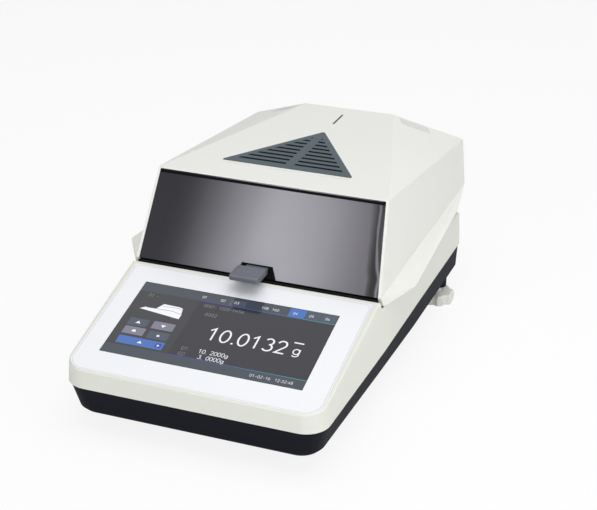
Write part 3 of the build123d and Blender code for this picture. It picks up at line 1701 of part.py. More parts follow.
rocker_half = 7.4
rocker_dish = 1.4
rocker_skirt = 3.0
rocker_stem_half = 2.0
rocker_stem_depth = 3.0
rocker_hub_radius = 2.6
with BuildPart() as power_rocker:
    with BuildSketch(Plane.XY.offset(socket_level)):
        with BuildLine():
            Polyline(
                (-rocker_half, rocker_pivot_depth + rocker_dish),
                (0, rocker_pivot_depth),
                (rocker_half, rocker_pivot_depth + rocker_dish),
                (rocker_half, rocker_pivot_depth + rocker_dish - rocker_skirt),
                (rocker_stem_half, rocker_pivot_radius),
                (rocker_stem_half, -rocker_stem_depth),
                (-rocker_stem_half, -rocker_stem_depth),
                (-rocker_stem_half, rocker_pivot_radius),
                (-rocker_half, rocker_pivot_depth + rocker_dish - rocker_skirt),
                close=True,
            )
        make_face()
        Circle(rocker_hub_radius)
    extrude(amount=switch_cavity[1] / 2 - rocker_gap, both=True)
    with BuildSketch(Plane.XY.offset(socket_level)):
        Circle(rocker_pivot_radius + running_gap)
    extrude(amount=switch_cavity[1], both=True, mode=Mode.SUBTRACT)
    with BuildSketch(Plane.XY.offset(socket_level)):
        Circle(rocker_hub_radius)
    extrude(amount=switch_cavity[1] / 2 - switch_stub - rocker_gap, both=True)
rocker_spot = (switch_x, along(switch_face_at - rocker_pivot_depth), 0)
power_rocker.part = power_rocker.part.moved(Location(rocker_spot, (0, 0, -rocker_tilt)))
keep(power_rocker, "power_rocker")

with BuildPart() as data_port:
    with BuildSketch(rear_plane(rear_panel_at + data_flange_thickness)):
        with Locations((data_x, socket_level)):
            RectangleRounded(*data_flange, 2)
    extrude(amount=data_flange_thickness)
    with BuildSketch(rear_plane(rear_panel_at + data_shell_proud)):
        with Locations((data_x, socket_level)):
            Trapezoid(*data_shell, data_shell_angle)
    extrude(amount=data_shell_length)
    with BuildSketch(rear_plane(rear_panel_at + data_shell_proud)):
        with Locations((data_x, socket_level)):
            Trapezoid(
                data_shell[0] - 2 * data_shell_skin, data_shell[1] - 2 * data_shell_skin, data_shell_angle
            )
    extrude(amount=data_socket_depth, mode=Mode.SUBTRACT)
keep(data_port, "data_port")

with BuildPart() as usb_port:
    with BuildSketch(rear_plane(rear_panel_at + usb_proud)):
        with Locations((usb_x, socket_level)):
            Rectangle(*usb_size)
    extrude(amount=usb_depth)
    with BuildSketch(rear_plane(rear_panel_at + usb_proud)):
        with Locations((usb_x, socket_level)):
            Rectangle(usb_size[0] - 2 * usb_skin, usb_size[1] - 2 * usb_skin)
    extrude(amount=usb_mouth_depth, mode=Mode.SUBTRACT)
    with BuildSketch(rear_plane(rear_panel_at + usb_proud - usb_mouth_depth)):
        with Locations((usb_x, socket_level + usb_tongue_rise)):
            Rectangle(*usb_tongue)
    extrude(amount=-usb_tongue_length)
keep(usb_port, "usb_port")
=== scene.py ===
import math

import bpy
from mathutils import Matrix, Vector


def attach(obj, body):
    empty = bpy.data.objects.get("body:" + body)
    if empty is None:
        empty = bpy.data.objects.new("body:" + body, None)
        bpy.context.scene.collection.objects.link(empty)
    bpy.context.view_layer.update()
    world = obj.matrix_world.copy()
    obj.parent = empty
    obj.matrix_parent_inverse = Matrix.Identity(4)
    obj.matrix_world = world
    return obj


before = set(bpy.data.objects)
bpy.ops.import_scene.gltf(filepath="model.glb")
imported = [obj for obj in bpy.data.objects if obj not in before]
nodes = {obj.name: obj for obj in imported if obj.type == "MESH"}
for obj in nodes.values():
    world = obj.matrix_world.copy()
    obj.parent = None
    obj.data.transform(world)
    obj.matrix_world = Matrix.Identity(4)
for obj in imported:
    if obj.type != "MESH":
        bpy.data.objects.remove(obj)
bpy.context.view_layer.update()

# Bench-top moisture analyzer: finishes, the display's picture and fine trim round the solid model.
# Blender works in metres; MM turns millimetres into metres.
MM = 0.001
across_axis = Vector((1, 0, 0))


# Materials


def add_node(tree, kind, inputs=None, **settings):
    """A shader node with its settings made, and its inputs given plain values or linked."""
    made = tree.nodes.new("ShaderNode" + kind)
    for name, value in settings.items():
        setattr(made, name, value)
    for key, value in (inputs or {}).items():
        if isinstance(value, bpy.types.NodeSocket):
            tree.links.new(value, made.inputs[key])
        else:
            made.inputs[key].default_value = value
    return made


def worked(tree, operation, *values):
    """The result of a calculation on numbers and the outputs of other nodes."""
    return add_node(tree, "Math", dict(enumerate(values)), operation=operation).outputs["Value"]


def mapped(tree, value, start, end, low=0.0, high=1.0, curve="LINEAR"):
    """A value carried from one range to another."""
    ends = {"Value": value, "From Min": start, "From Max": end, "To Min": low, "To Max": high}
    return add_node(tree, "MapRange", ends, interpolation_type=curve).outputs["Result"]


def mixed(tree, share, first, second, blend="MIX"):
    """One colour mixed into another."""
    sides = {"Factor": share, "A": first, "B": second}
    return add_node(tree, "Mix", sides, data_type="RGBA", blend_type=blend).outputs["Result"]


def noise(tree, scale, detail=3.0, stretch=(1, 1, 1)):
    """Noise over the object's own coordinates."""
    place = add_node(tree, "TexCoord").outputs["Object"]
    mapping = add_node(tree, "Mapping", {"Vector": place, "Scale": stretch})
    texture = add_node(
        tree,
        "TexNoise",
        {"Vector": mapping.outputs["Vector"], "Scale": scale, "Detail": detail},
    )
    return texture.outputs["Fac"]


def new_tree(holder):
    """The empty node tree of a new material or world."""
    holder.use_nodes = True
    holder.node_tree.nodes.clear()
    return holder.node_tree


def linear(red, green, blue):
    """Scene colour of a display colour given as 0 to 255."""
    def one(value):
        value /= 255
        return value / 12.92 if value <= 0.04045 else ((value + 0.055) / 1.055) ** 2.4
    return one(red), one(green), one(blue)


cloud_scale = 14.0
relief_depth = 0.0002
coat_rough = 0.05
# A lit part of the display is nearly black in itself, and gives off its own colour.
unlit_share = 0.12


def surface(name, color, rough, metallic=0.0, grain=1800.0, bump=0.04, vary=0.03, rough_vary=0.06,
            stretch=(1, 1, 1), coat=0.0, clear=0.0, gleam=0.5, glow=0.0):
    """A surface with fine grain, slight colour variation and uneven roughness.

    color is a display colour, or a function of the node tree that gives a colour output. vary is
    how far the colour drifts each way, gleam the strength of the plain reflection and glow the
    light that the surface gives off in its own colour.
    """
    material = bpy.data.materials.new(name)
    tree = new_tree(material)
    fine = noise(tree, grain, 2.0, stretch)
    smoothest, roughest = max(0.02, rough - rough_vary), min(1.0, rough + rough_vary)
    if callable(color):
        shade = color(tree)
    else:
        unlit = [channel * (unlit_share if glow else 1) for channel in linear(*color)]
        darker = (*[channel * (1 - vary) for channel in unlit], 1)
        lighter = (*[min(1.0, channel * (1 + vary)) for channel in unlit], 1)
        shade = mixed(tree, noise(tree, cloud_scale, 4.0, stretch), darker, lighter)
    shader = add_node(
        tree,
        "BsdfPrincipled",
        {
            "Base Color": shade,
            "Roughness": mapped(tree, fine, 0, 1, smoothest, roughest),
            "Metallic": metallic,
            "Specular IOR Level": gleam,
            "Coat Weight": coat,
            "Coat Roughness": coat_rough,
            "Transmission Weight": clear,
        },
    )
    if glow:
        shader.inputs["Emission Color"].default_value = (*linear(*color), 1)
        shader.inputs["Emission Strength"].default_value = glow
    if bump:
        relief = add_node(tree, "Bump", {"Strength": bump, "Distance": relief_depth, "Height": fine})
        tree.links.new(relief.outputs["Normal"], shader.inputs["Normal"])
    add_node(tree, "OutputMaterial", {"Surface": shader.outputs["BSDF"]})
    return material


def glowing(name, color, strength=0.68):
    """A lit part of the display."""
    return surface(name, color, 0.12, bump=0.0, vary=0.01, rough_vary=0.02, glow=strength)


def ramp(tree, value, curve, stops, tint):
    """A grey scale over a value: stops are places and grey levels, tint is added to each level."""
    made = add_node(tree, "ValToRGB", {"Fac": value})
    made.color_ramp.interpolation = curve
    elements = made.color_ramp.elements
    for index, (position, level) in enumerate(stops):
        element = elements[index] if index < 2 else elements.new(position)
        element.position = position
        element.color = (*linear(*[level + part for part in tint]), 1)
    return made.outputs["Color"]


# The smoked window's colour, in metres: a painted reflection over the dark smoked tint. A pale painted
# sheen leans as it rises, a dark wavering painted reflection streak runs along the right edge, and the
# colour darkens slightly towards the top.
glass_half = 0.0985
reflection_sheen_lean = -0.16
reflection_sheen_stops = ((0.0, 40), (0.14, 62), (0.34, 158), (0.46, 180), (0.64, 154), (0.8, 104), (0.96, 84))
reflection_streak_lean = 0.1
reflection_streak_waver = 0.016
reflection_streak_left, reflection_streak_right = 0.094, 0.115
reflection_streak_stops = ((0.0, 84), (0.3, 104), (0.46, 40), (0.54, 3), (0.64, 3), (0.72, 118), (0.8, 44), (1.0, 70))
reflection_streak_fade_start, reflection_streak_fade_end = 0.078, 0.09
dim_start, dim_end, dim_share = 0.09, 0.148, 0.82


def window_reflection_paint(tree):
    """The window's colour: painted reflection sheen and streak, and the darkening over its height."""
    place = add_node(tree, "TexCoord").outputs["Object"]
    split = add_node(tree, "SeparateXYZ", {"Vector": place})
    across, height = split.outputs["X"], split.outputs["Z"]
    leaning = worked(tree, "MULTIPLY_ADD", height, reflection_sheen_lean, across)
    reflection_sheen = ramp(tree, mapped(tree, leaning, -glass_half, glass_half), "B_SPLINE", reflection_sheen_stops, (0, -2, 4))
    waver = worked(tree, "MULTIPLY_ADD", noise(tree, 24.0, 2.0, (1.0, 0.5, 1.0)), reflection_streak_waver, across)
    edgeward = worked(tree, "MULTIPLY_ADD", height, reflection_streak_lean, waver)
    reflection_streak = ramp(tree, mapped(tree, edgeward, reflection_streak_left, reflection_streak_right), "EASE", reflection_streak_stops, (0, 0, 6))
    share = mapped(tree, across, reflection_streak_fade_start, reflection_streak_fade_end, curve="SMOOTHSTEP")
    dimming = mapped(tree, height, dim_start, dim_end, 1.0, dim_share)
    return mixed(tree, 1.0, mixed(tree, share, reflection_sheen, reflection_streak), dimming, "MULTIPLY")


lid_white = surface("lid_satin", (236, 236, 230), 0.42, bump=0.05, vary=0.012)
case_white = surface("case_satin", (226, 227, 217), 0.45, bump=0.06, vary=0.012)
tray_dark = surface("tray_textured", (12, 14, 24), 0.62, bump=0.18, grain=1400, vary=0.08, gleam=0.12)
overlay_gloss = surface("overlay_film", (243, 244, 246), 0.25, bump=0.01, vary=0.006, coat=0.3)
screen_glass = surface("screen_cover", (24, 25, 30), 0.08, bump=0.0, vary=0.02, rough_vary=0.02)
# The window's base colour is a painted reflection over its smoked tint.
smoked_painted_reflection = surface("smoked_window_painted_reflection", window_reflection_paint, 0.1, bump=0.0, rough_vary=0.02, coat=0.12, gleam=0.2)
frame_black = surface("frame_black", (8, 8, 10), 0.6, bump=0.12, vary=0.08, gleam=0.1)
grille_slate = surface("grille_slate", (68, 82, 89), 0.5, bump=0.12, vary=0.04, gleam=0.25)
handle_grey = surface("handle_grey", (104, 107, 117), 0.42, bump=0.08, vary=0.03)
rubber_black = surface("rubber_black", (20, 20, 22), 0.8, bump=0.25, vary=0.1, gleam=0.15)
knob_white = surface("knob_satin", (228, 227, 220), 0.5, bump=0.08, vary=0.02)
steel = surface("steel_brushed", (178, 179, 182), 0.32, metallic=1, bump=0.1, grain=900, vary=0.05,
                rough_vary=0.12, stretch=(1, 14, 1))
zinc = surface("steel_zinc", (168, 170, 174), 0.4, metallic=1, bump=0.08, grain=420, vary=0.1)
chrome = surface("steel_turned", (200, 201, 204), 0.18, metallic=1, bump=0.03, vary=0.03)
aluminium = surface("aluminium_pressed", (205, 206, 209), 0.28, metallic=1, bump=0.06, vary=0.04)
mirror_metal = surface("reflector_polished", (225, 225, 226), 0.1, metallic=1, bump=0.0, vary=0.02)
brass = surface("brass_turned", (190, 156, 84), 0.25, metallic=1, bump=0.05, vary=0.05)
acetal = surface("acetal", (214, 209, 194), 0.5, bump=0.05, vary=0.02)
ceramic = surface("ceramic", (226, 221, 206), 0.6, bump=0.15, vary=0.04)
clear_glass = surface("clear_glass", (236, 244, 243), 0.03, bump=0.0, vary=0.01, rough_vary=0.01, clear=1.0)
lamp_glass = surface("lamp_quartz", (243, 239, 226), 0.08, bump=0.0, vary=0.03, clear=0.85)
board_green = surface("board_green", (32, 92, 58), 0.4, bump=0.1, grain=600, vary=0.2)
port_black = surface("port_black", (24, 24, 26), 0.45, bump=0.1, vary=0.06)
panel_black = surface("panel_powder_coat", (44, 45, 48), 0.55, bump=0.3, grain=1000, vary=0.08)

finishes = {
    lid_white: ["lid_shell"],
    case_white: ["upper_case"],
    tray_dark: ["bottom_tray"],
    overlay_gloss: ["panel_overlay"],
    screen_glass: ["screen_glass"],
    smoked_painted_reflection: ["lid_window"],
    frame_black: ["window_frame", "lid_underplate"],
    grille_slate: ["vent_grille"],
    handle_grey: ["lid_handle"],
    rubber_black: ["deck_seal", "front_feet", "foot_pad_right", "foot_pad_left"],
    knob_white: ["foot_knob_right", "foot_knob_left"],
    steel: ["chamber_tub", "draft_shield", "pan_handler", "heater_plate", "glass_ring"],
    zinc: [
        "cell_plate", "hinge_bracket_right", "hinge_bracket_left", "hinge_carrier_right",
        "hinge_carrier_left", "motor_bracket", "lid_motor", "display_module", "data_port", "usb_port",
        "case_screws", "heater_screws",
    ],
    chrome: ["hinge_pins", "pin_clips", "temperature_sensor", "pan_support"],
    aluminium: ["sample_pan", "load_cell"],
    mirror_metal: ["reflector"],
    brass: ["drive_pinion", "foot_inserts"],
    acetal: ["hinge_gear", "hinge_collar"],
    ceramic: ["lamp_holders"],
    clear_glass: ["heater_glass", "level_glass"],
    lamp_glass: ["halogen_lamp"],
    board_green: ["main_board", "power_board", "display_board"],
    port_black: ["power_inlet", "switch_housing", "power_rocker", "level_cup"],
    panel_black: ["rear_panel"],
}
for material, names in finishes.items():
    for name in names:
        nodes[name].data.materials.clear()
        nodes[name].data.materials.append(material)


# Building blocks for thin trim


def mesh_piece(name, points, faces, material, body):
    """A mesh object from points in metres, riding on a body."""
    mesh = bpy.data.meshes.new(name)
    mesh.from_pydata([tuple(point) for point in points], [], faces)
    mesh.materials.append(material)
    piece = bpy.data.objects.new(name, mesh)
    bpy.context.scene.collection.objects.link(piece)
    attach(piece, body)
    return piece


def plate(name, place, outline, low, high, material, body):
    """A thin plate: an outline in a plane's millimetres, raised between two heights."""
    count = len(outline)
    points = [place(x, y, low) for x, y in outline] + [place(x, y, high) for x, y in outline]
    faces = [tuple(reversed(range(count))), tuple(range(count, 2 * count))]
    for index in range(count):
        after = (index + 1) % count
        faces.append((index, after, count + after, count + index))
    return mesh_piece(name, points, faces, material, body)


def ribbon(name, place, outer, inner, level, material, body):
    """A flat closed line between two outlines of equal length."""
    count = len(outer)
    points = [place(x, y, level) for x, y in outer + inner]
    faces = [(i, (i + 1) % count, count + (i + 1) % count, count + i) for i in range(count)]
    return mesh_piece(name, points, faces, material, body)


def arc(centre, across, up, start, end, steps=12):
    """Points along part of an ellipse, by angles in degrees."""
    points = []
    for step in range(steps + 1):
        angle = math.radians(start + (end - start) * step / steps)
        points.append((centre[0] + across * math.cos(angle), centre[1] + up * math.sin(angle)))
    return points


corner_steps = 2


def rounded(width, height, radius, centre):
    """Outline of a rectangle with round corners, counterclockwise."""
    outline = []
    for side_x, side_y, start in ((1, -1, -90), (1, 1, 0), (-1, 1, 90), (-1, -1, 180)):
        corner = (centre[0] + side_x * (width / 2 - radius), centre[1] + side_y * (height / 2 - radius))
        outline += arc(corner, radius, radius, start, start + 90, corner_steps)
    return outline


def box_outline(left, low, right, high):
    """Outline of a rectangle from its sides."""
    return [(left, low), (right, low), (right, high), (left, high)]


# Planes of the model that carry trim: the sloping panel, the window, the lid's top facet and the
# handle's flat top. Places are millimetres behind the housing's front and above the floor, as the
# solid model has them.
half_depth = 190


def from_front(at, height):
    """A point of the middle plane."""
    return Vector((0, at - half_depth, height))


def plane(origin, up):
    """A function for points of a plane, from millimetres across, up its slope and out of it."""
    out = across_axis.cross(up)

    def place(x, y, lift):
        return (origin + across_axis * x + up * y + out * lift) * MM

    return place


panel_slope = math.radians(12.2)
on_panel = plane(from_front(2.2, 56.5), Vector((0, math.cos(panel_slope), math.sin(panel_slope))))

window_low = from_front(129.3, 84.4)
ridge_at = 162.1
window_high = from_front(ridge_at, 148.2)
window_length = (window_high - window_low).length
window_low_half, window_high_half = 98.7, 92.8
window_rim = 2.3
on_window = plane(window_low, (window_high - window_low).normalized())

top_plane = plane(window_high, (from_front(352.4, 142.7) - window_high).normalized())
on_handle = plane(from_front(113.8, 96.0), Vector((0, 1, 0)))


def on_lid(x, at, lift):
    """A point over the lid's top facet, from millimetres across, behind the front and out."""
    return top_plane(x, at - ridge_at, lift)


# Display. Its places are millimetres right of and above the lower left corner.
screen_width, screen_height = 154.2, 82.0
screen_left = -1.2 - screen_width / 2
screen_low = 21.7
screen_level = 0.10
layer = 0.02


def on_screen(x, y, lift):
    """A point of the display."""
    return on_panel(screen_left + x, screen_low + y, screen_level + lift)


def lit(name, outline, level, material):
    """A flat part of the display's picture, on a layer above the glass."""
    return plate(name, on_screen, outline, layer * (level - 0.5), layer * level, material, "base")


ink_main = glowing("display_ground", (50, 50, 60))
ink_left = glowing("display_side", (62, 63, 68))
ink_bar = glowing("display_bar", (72, 80, 92))
ink_tab = glowing("display_tab", (92, 94, 112))
ink_button = glowing("display_button", (80, 92, 108))
ink_button_light = glowing("display_button_light", (138, 136, 156))
ink_blue = glowing("display_blue", (74, 122, 205))
ink_blue_dark = glowing("display_blue_dark", (52, 78, 170))
ink_white = glowing("display_white", (246, 246, 250), 0.86)
ink_dim = glowing("display_dim", (150, 152, 160))

# Grounds, bars and tabs.
margin = 0.3
divider = 49.2
bar_low, bar_high = 9.8, 71.6
right_edge, top_edge = screen_width - margin, screen_height - margin
lit("display_ground", box_outline(margin, margin, right_edge, top_edge), 1, ink_main)
lit("display_side", box_outline(margin, bar_low, divider, bar_high), 2, ink_left)
lit("display_top_bar", box_outline(margin, bar_high, right_edge, top_edge), 2, ink_bar)
lit("display_low_bar", box_outline(margin, margin, right_edge, bar_low), 2, ink_bar)
lit("display_tab_open", box_outline(70.8, bar_high + 0.6, 83.6, screen_height - 3.2), 3, ink_tab)
tab_low, tab_high = bar_high + 0.4, screen_height - 0.5
lit("display_tab_blue", box_outline(117.4, tab_low, 129.8, tab_high), 3, ink_blue)
lit("display_tab_right", box_outline(130.4, tab_low, 141.4, tab_high), 3, ink_button)
lit("display_tab_last", box_outline(142.0, tab_low, 153.6, tab_high), 3, ink_button)

# Thin lines under the top bar and over the low one, purple at the left and teal at the right.
purple, teal = (78, 60, 170), (46, 158, 160)
line_glow = 0.8
line_parts = 14
line_thick = 0.6
part_length = (screen_width - divider) / line_parts
for row, low in (("top", bar_high - 0.35), ("low", bar_low - 0.25)):
    for part in range(line_parts):
        share = part / (line_parts - 1)
        color = [first + (last - first) * share for first, last in zip(purple, teal)]
        name = f"display_line_{row}_{part}"
        start = divider + part_length * part
        outline = box_outline(start, low, start + part_length, low + line_thick)
        lit(name, outline, 3, glowing(name, color, line_glow))

# Buttons, with plain marks in place of words.
button_high = 8.2
button_corner = 0.5
buttons = (
    ("a", 6.6, 22.0, 36.4, ink_button),
    ("b", 25.6, 42.6, 36.8, ink_button_light),
    ("c", 6.8, 23.4, 26.8, ink_button_light),
    ("d", 26.6, 42.8, 26.0, ink_button),
)
for letter, left, right, middle, ink in buttons:
    outline = rounded(right - left, button_high, button_corner, ((left + right) / 2, middle))
    lit(f"display_button_{letter}", outline, 3, ink)
start_middle = 16.0
lit("display_start", rounded(36.2, button_high, button_corner, (25.0, start_middle)), 3, ink_blue)
lit("display_start_box", rounded(4.6, 4.6, 0.6, (39.2, start_middle)), 4, ink_blue_dark)
lit("display_start_mark", [(38.3, 14.8), (40.4, start_middle), (38.3, 17.2)], 5, ink_white)


def triangle(x, y, size):
    """A small triangle that points up, or down where its size is negative."""
    return [(x - size, y - size * 0.6), (x + size, y - size * 0.6), (x, y + size * 0.8)]


def weight_mark(x, y, size):
    """A small weight: a trapezoid, wider below."""
    low, high = y - size * 0.7, y + size * 0.7
    top_half = size * 0.6
    return [(x - size, low), (x + size, low), (x + top_half, high), (x - top_half, high)]


lit("display_mark_up", triangle(14.3, 36.4, 2.0), 4, ink_white)
lit("display_mark_down", triangle(34.1, 36.8, -2.0), 4, ink_white)
lit("display_mark_weight", weight_mark(15.1, 26.8, 1.7), 4, ink_white)
lit("display_mark_weight_small", weight_mark(34.7, 26.0, 1.3), 4, ink_white)
lit("display_mark_go", triangle(24.6, start_middle, 1.9), 4, ink_white)


# Small picture of the device itself: its body, its lid, the lines on both, and a foot.
icon_body = [(8.4, 51.6), (41.6, 47.4), (41.8, 52.8), (34.0, 54.8), (12.0, 54.2)]
icon_lid = [(20.6, 54.4), (41.4, 52.6), (40.2, 59.0), (37.4, 60.2), (24.4, 60.6)]
icon_seam = [(13.0, 53.7), (33.6, 54.3), (41.6, 52.2), (41.6, 52.6), (33.7, 54.8), (13.0, 54.2)]
icon_edge = [(24.6, 57.6), (36.6, 58.6), (40.4, 57.4), (40.4, 57.8), (36.7, 59.0), (24.6, 58.0)]
icon_foot = [(34.6, 47.0), (38.4, 46.4), (38.4, 47.6), (34.6, 48.0)]
lit("display_icon_body", icon_body, 3, ink_white)
lit("display_icon_lid", icon_lid, 3, ink_white)
lit("display_icon_seam", icon_seam, 4, ink_dim)
lit("display_icon_edge", icon_edge, 4, ink_dim)
lit("display_icon_foot", icon_foot, 2, ink_dim)

# Strokes of each character, in a cell one unit high.
ring_low = arc((0.28, 0.29), 0.25, 0.27, 0, 360, 20)
glyphs = {
    "0": [arc((0.28, 0.5), 0.26, 0.48, 0, 360, 24)],
    "1": [[(0.06, 0.78), (0.31, 0.98), (0.31, 0.02)]],
    "2": [arc((0.28, 0.71), 0.24, 0.27, 165, -35) + [(0.04, 0.03), (0.55, 0.03)]],
    "3": [arc((0.27, 0.75), 0.22, 0.23, 150, -80), arc((0.27, 0.28), 0.26, 0.26, 85, -150)],
    "4": [[(0.41, 0.02), (0.41, 0.97), (0.03, 0.28), (0.56, 0.28)]],
    "5": [[(0.5, 0.97), (0.1, 0.97), (0.07, 0.52)] + arc((0.27, 0.31), 0.26, 0.29, 130, -150)],
    "6": [ring_low, arc((0.6, 0.29), 0.57, 0.69, 105, 180)],
    "7": [[(0.03, 0.97), (0.55, 0.97), (0.2, 0.02)]],
    "8": [arc((0.28, 0.75), 0.21, 0.22, 0, 360, 20), ring_low],
    "9": [arc((0.28, 0.71), 0.25, 0.27, 0, 360, 20), arc((-0.04, 0.71), 0.57, 0.69, 285, 360)],
    "g": [
        arc((0.28, 0.33), 0.24, 0.28, 0, 360, 20),
        [(0.52, 0.62), (0.52, 0.0)] + arc((0.28, 0.0), 0.24, 0.2, 0, -150),
    ],
    ".": [[(0.08, 0.0), (0.08, 0.11)]],
    ":": [[(0.12, 0.12), (0.12, 0.23)], [(0.12, 0.6), (0.12, 0.71)]],
    "-": [[(0.08, 0.42), (0.46, 0.42)]],
    " ": [],
}
narrow = {".": 0.31, ":": 0.36, " ": 0.55}
dot_weight = 1.24
text_level = 4
sharpest_mitre = 0.45
same_place = 1e-6


def stroke_sides(path, half):
    """Points on both sides of a path, with mitred corners; a closed path meets itself smoothly."""
    last = len(path) - 1
    closed = (path[0] - path[last]).length < same_place
    sides = []
    for index, point in enumerate(path):
        before = path[max(index - 1, 0)]
        after = path[min(index + 1, last)]
        if closed and index in (0, last):
            before, after = path[-2], path[1]
        arrive = (point - before).normalized() if point != before else (after - point).normalized()
        leave = (after - point).normalized() if after != point else arrive
        onward = (arrive + leave).normalized()
        aside = Vector((-onward.y, onward.x)) * half / max(sharpest_mitre, onward.dot(arrive))
        sides += [point + aside, point - aside]
    return sides


def number(name, text, left, low, height, material, pitch=0.72, weight=0.1):
    """Digits drawn as thin strokes on the display, from the left end of their foot line."""
    points = []
    faces = []
    for character in text:
        half = height * weight / 2 * (dot_weight if character in ".:" else 1)
        for stroke in glyphs[character]:
            path = [Vector((left + x * height, low + y * height)) for x, y in stroke]
            first = len(points)
            points += [on_screen(x, y, layer * text_level) for x, y in stroke_sides(path, half)]
            for start in range(first, len(points) - 2, 2):
                faces.append((start, start + 1, start + 3, start + 2))
        left += height * narrow.get(character, pitch)
    return mesh_piece(f"digits_{name}", points, faces, material, "base")


number("reading", "10.0132", 69.0, 31.6, 13.4, ink_white)
number("unit", "g", 134.4, 33.2, 9.6, ink_white, weight=0.098)
lit("display_stable_bar", box_outline(132.4, 45.0, 139.8, 46.3), 3, ink_white)
number("upper", "10. 2000g", 69.6, 16.8, 4.1, ink_white, pitch=0.68, weight=0.105)
number("lower", "3. 0000g", 71.4, 10.9, 4.1, ink_white, pitch=0.68, weight=0.105)
number("upper_tag", "01:", 56.4, 16.8, 3.6, ink_dim, weight=0.09)
number("lower_tag", "02:", 56.4, 11.0, 3.6, ink_dim, weight=0.09)
number("sample", "0001: 1020-0456", 54.0, 65.6, 3.1, ink_dim, weight=0.095)
number("channel", "0002", 58.4, 56.2, 3.4, ink_dim, weight=0.095)
number("user", "01 -", 9.0, 66.4, 3.1, ink_dim, weight=0.095)
number("date", "01-02-16", 114.0, 3.6, 2.7, ink_white, weight=0.09)
number("time", "12:32:48", 132.6, 3.6, 2.7, ink_white, weight=0.09)
tab_texts = {
    "01": 49.0,
    "02": 63.8,
    "03": 74.6,
    "108": 96.0,
    "160": 104.2,
    "04": 120.6,
    "05": 133.0,
    "06": 145.2,
}
for text, left in tab_texts.items():
    number(f"tab_{text}", text, left, 74.8, 2.6, ink_white, weight=0.095)

# Fine grey line printed round the overlay, just inside its edge.
line_grey = surface("overlay_line", (196, 197, 201), 0.4, bump=0.0, vary=0.02)
overlay_half, overlay_length = 95.2, 122.4
overlay_front_corner, overlay_rear_corner = 13.0, 5.0
line_inset, line_wide, line_lift = 1.0, 0.35, 0.22


def overlay_outline(inset):
    """The overlay's outline drawn in by an inset: large corners in front, small ones behind."""
    outline = []
    for side, rear, start in ((1, False, -90), (1, True, 0), (-1, True, 90), (-1, False, 180)):
        radius = overlay_rear_corner if rear else overlay_front_corner
        corner = (side * (overlay_half - radius), overlay_length - radius if rear else radius)
        outline += arc(corner, radius - inset, radius - inset, start, start + 90, 8)
    return outline


ribbon("overlay_line", on_panel, overlay_outline(line_inset), overlay_outline(line_inset + line_wide),
       line_lift, line_grey, "base")

# Black band printed along the top of the window's glass.
print_black = surface("window_print", (5, 5, 7), 0.6, bump=0.0, vary=0.02, gleam=0.08)
band_top = window_length - 1.8
band_low = band_top - 2.2
band_back, band_face = -0.19, -0.15


def window_half(y):
    """Half width of the glass at a height up the window."""
    return window_low_half - window_rim - (window_low_half - window_high_half) * y / window_length


plate(
    "window_top_band",
    on_window,
    [
        (-window_half(band_low), band_low),
        (window_half(band_low), band_low),
        (window_half(band_top), band_top),
        (-window_half(band_top), band_top),
    ],
    band_back,
    band_face,
    print_black,
    "lid",
)

# Raised oval with three ridges on the handle's flat top, a plain grip mark.
mark_grey = surface("handle_mark", (126, 129, 138), 0.4, bump=0.05, vary=0.02)
oval_across, oval_up, oval_line = 7.4, 5.4, 0.4
oval_steps = 36
oval_outer = arc((0, 0), oval_across, oval_up, 0, 360, oval_steps)[:-1]
oval_inner = arc((0, 0), oval_across - oval_line, oval_up - oval_line, 0, 360, oval_steps)[:-1]
ribbon("handle_oval", on_handle, oval_outer, oval_inner, 0.06, mark_grey, "lid")
ridge_wide, ridge_long, ridge_high, ridge_spacing = 0.7, 4.4, 0.15, 2.4
for index in range(3):
    ridge = rounded(ridge_wide, ridge_long, 0.3, ((index - 1) * ridge_spacing, 0))
    plate(f"handle_ridge_{index}", on_handle, ridge, 0.0, ridge_high, mark_grey, "lid")

# Painted shade in the lid's top: a dark plate in the slit, and a dark sheet under the grille, standing for
# the shade inside them.
painted_shade_black = surface("painted_shade_black", (8, 9, 11), 0.7, bump=0.1, vary=0.1, gleam=0.1)
slit_half = 0.8
slit_outline = box_outline(-slit_half, 308.8, slit_half, 335.2)
plate("slit_painted_shade", on_lid, slit_outline, -1.2, -0.3, painted_shade_black, "lid")
# A dark sheet under the grille: painted shade behind its openings.
grille_shade_half, grille_shade_base, grille_shade_tip = 48.5, 199.5, 281.5
grille_shade_outline = [(-grille_shade_half, grille_shade_base), (grille_shade_half, grille_shade_base), (0.0, grille_shade_tip)]
plate("grille_painted_shade", on_lid, grille_shade_outline, -3.0, -2.4, painted_shade_black, "lid")


# Stage: floor, world, lamps and camera.


def mixed_shader(tree, share, first, second):
    """One shader mixed into another."""
    return add_node(tree, "MixShader", {"Fac": share, 1: first, 2: second}).outputs["Shader"]


# The floor is nearly white to the camera, and keeps a soft shadow by its diffuse share.
floor_white_share = 0.86
floor_material = bpy.data.materials.new("floor_pale")
tree = new_tree(floor_material)
path = add_node(tree, "LightPath").outputs
diffuse = add_node(tree, "BsdfDiffuse", {"Color": (0.96, 0.96, 0.96, 1)})
glow = add_node(tree, "Emission", {"Color": (1, 1, 1, 1), "Strength": 1.0})
share = worked(tree, "MULTIPLY", path["Is Camera Ray"], floor_white_share)
floor_look = mixed_shader(tree, share, diffuse.outputs["BSDF"], glow.outputs["Emission"])
add_node(tree, "OutputMaterial", {"Surface": floor_look})

floor_mesh = bpy.data.meshes.new("floor")
reach = 6.0
floor_corners = [(x, y, 0) for x, y in box_outline(-reach, -reach, reach, reach)]
floor_mesh.from_pydata(floor_corners, [], [tuple(range(4))])
floor_mesh.materials.append(floor_material)
floor = bpy.data.objects.new("floor", floor_mesh)
bpy.context.scene.collection.objects.link(floor)

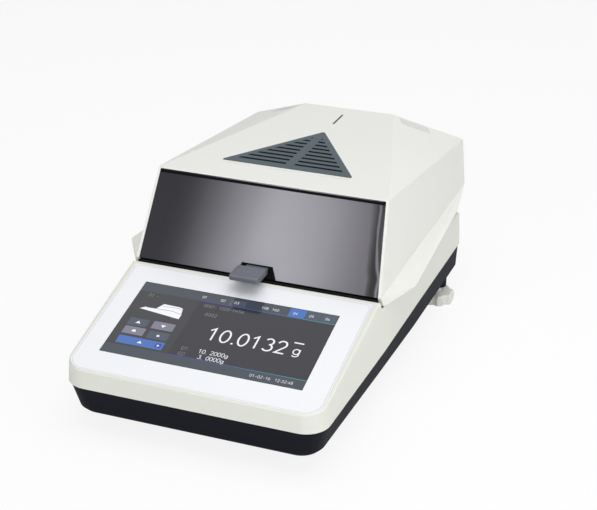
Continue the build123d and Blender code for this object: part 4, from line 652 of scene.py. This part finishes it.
# The world lights softly, and is white to the camera, to glossy surfaces and through glass.
world = bpy.data.worlds.new("studio")
bpy.context.scene.world = world
tree = new_tree(world)
path = add_node(tree, "LightPath").outputs
ambient = add_node(tree, "Background", {"Color": (0.95, 0.97, 1.0, 1), "Strength": 0.4})
white = add_node(tree, "Background", {"Color": (1, 1, 1, 1), "Strength": 1.0})
seen = worked(tree, "MAXIMUM", path["Is Camera Ray"], path["Is Glossy Ray"])
seen = worked(tree, "MAXIMUM", seen, path["Is Transmission Ray"])
sky = mixed_shader(tree, seen, ambient.outputs["Background"], white.outputs["Background"])
add_node(tree, "OutputWorld", {"Surface": sky})


def lamp(name, place, width, height, power):
    """A soft rectangular lamp that faces the middle of the object."""
    light = bpy.data.lights.new(name, "AREA")
    light.shape = "RECTANGLE"
    light.size = width
    light.size_y = height
    light.energy = power
    holder = bpy.data.objects.new(name, light)
    bpy.context.scene.collection.objects.link(holder)
    holder.location = place
    holder.rotation_euler = (object_middle - Vector(place)).to_track_quat("-Z", "Y").to_euler()


object_middle = Vector((0, 0, 0.08))
lamp("key_top", (0.3, -0.35, 1.5), 1.3, 1.3, 12.5)
lamp("fill_right", (1.5, -0.7, 0.75), 1.2, 1.0, 7.0)
lamp("fill_front", (0.1, -1.7, 0.6), 1.2, 0.9, 4.5)

# Camera: the photograph's viewpoint. The focal length and the middle are in the picture's pixels.
picture_width = 597
focal_pixels = 1435.67
middle_pixel = 266.0
azimuth, elevation, distance = math.radians(21.059), math.radians(25.791), 1.09637
target = Vector((0, -0.0378, 0.09244))
outward = Vector((
    math.sin(azimuth) * math.cos(elevation),
    -math.cos(azimuth) * math.cos(elevation),
    math.sin(elevation),
))
camera_data = bpy.data.cameras.new("camera")
camera_data.sensor_width = 36.0
camera_data.lens = focal_pixels / picture_width * camera_data.sensor_width
camera_data.shift_x = (picture_width / 2 - middle_pixel) / picture_width
camera_data.dof.use_dof = False
camera = bpy.data.objects.new("camera", camera_data)
bpy.context.scene.collection.objects.link(camera)
camera.location = target + outward * distance
camera.rotation_euler = (-outward).to_track_quat("-Z", "Y").to_euler()
bpy.context.scene.camera = camera
bpy.context.scene.view_settings.view_transform = "Standard"
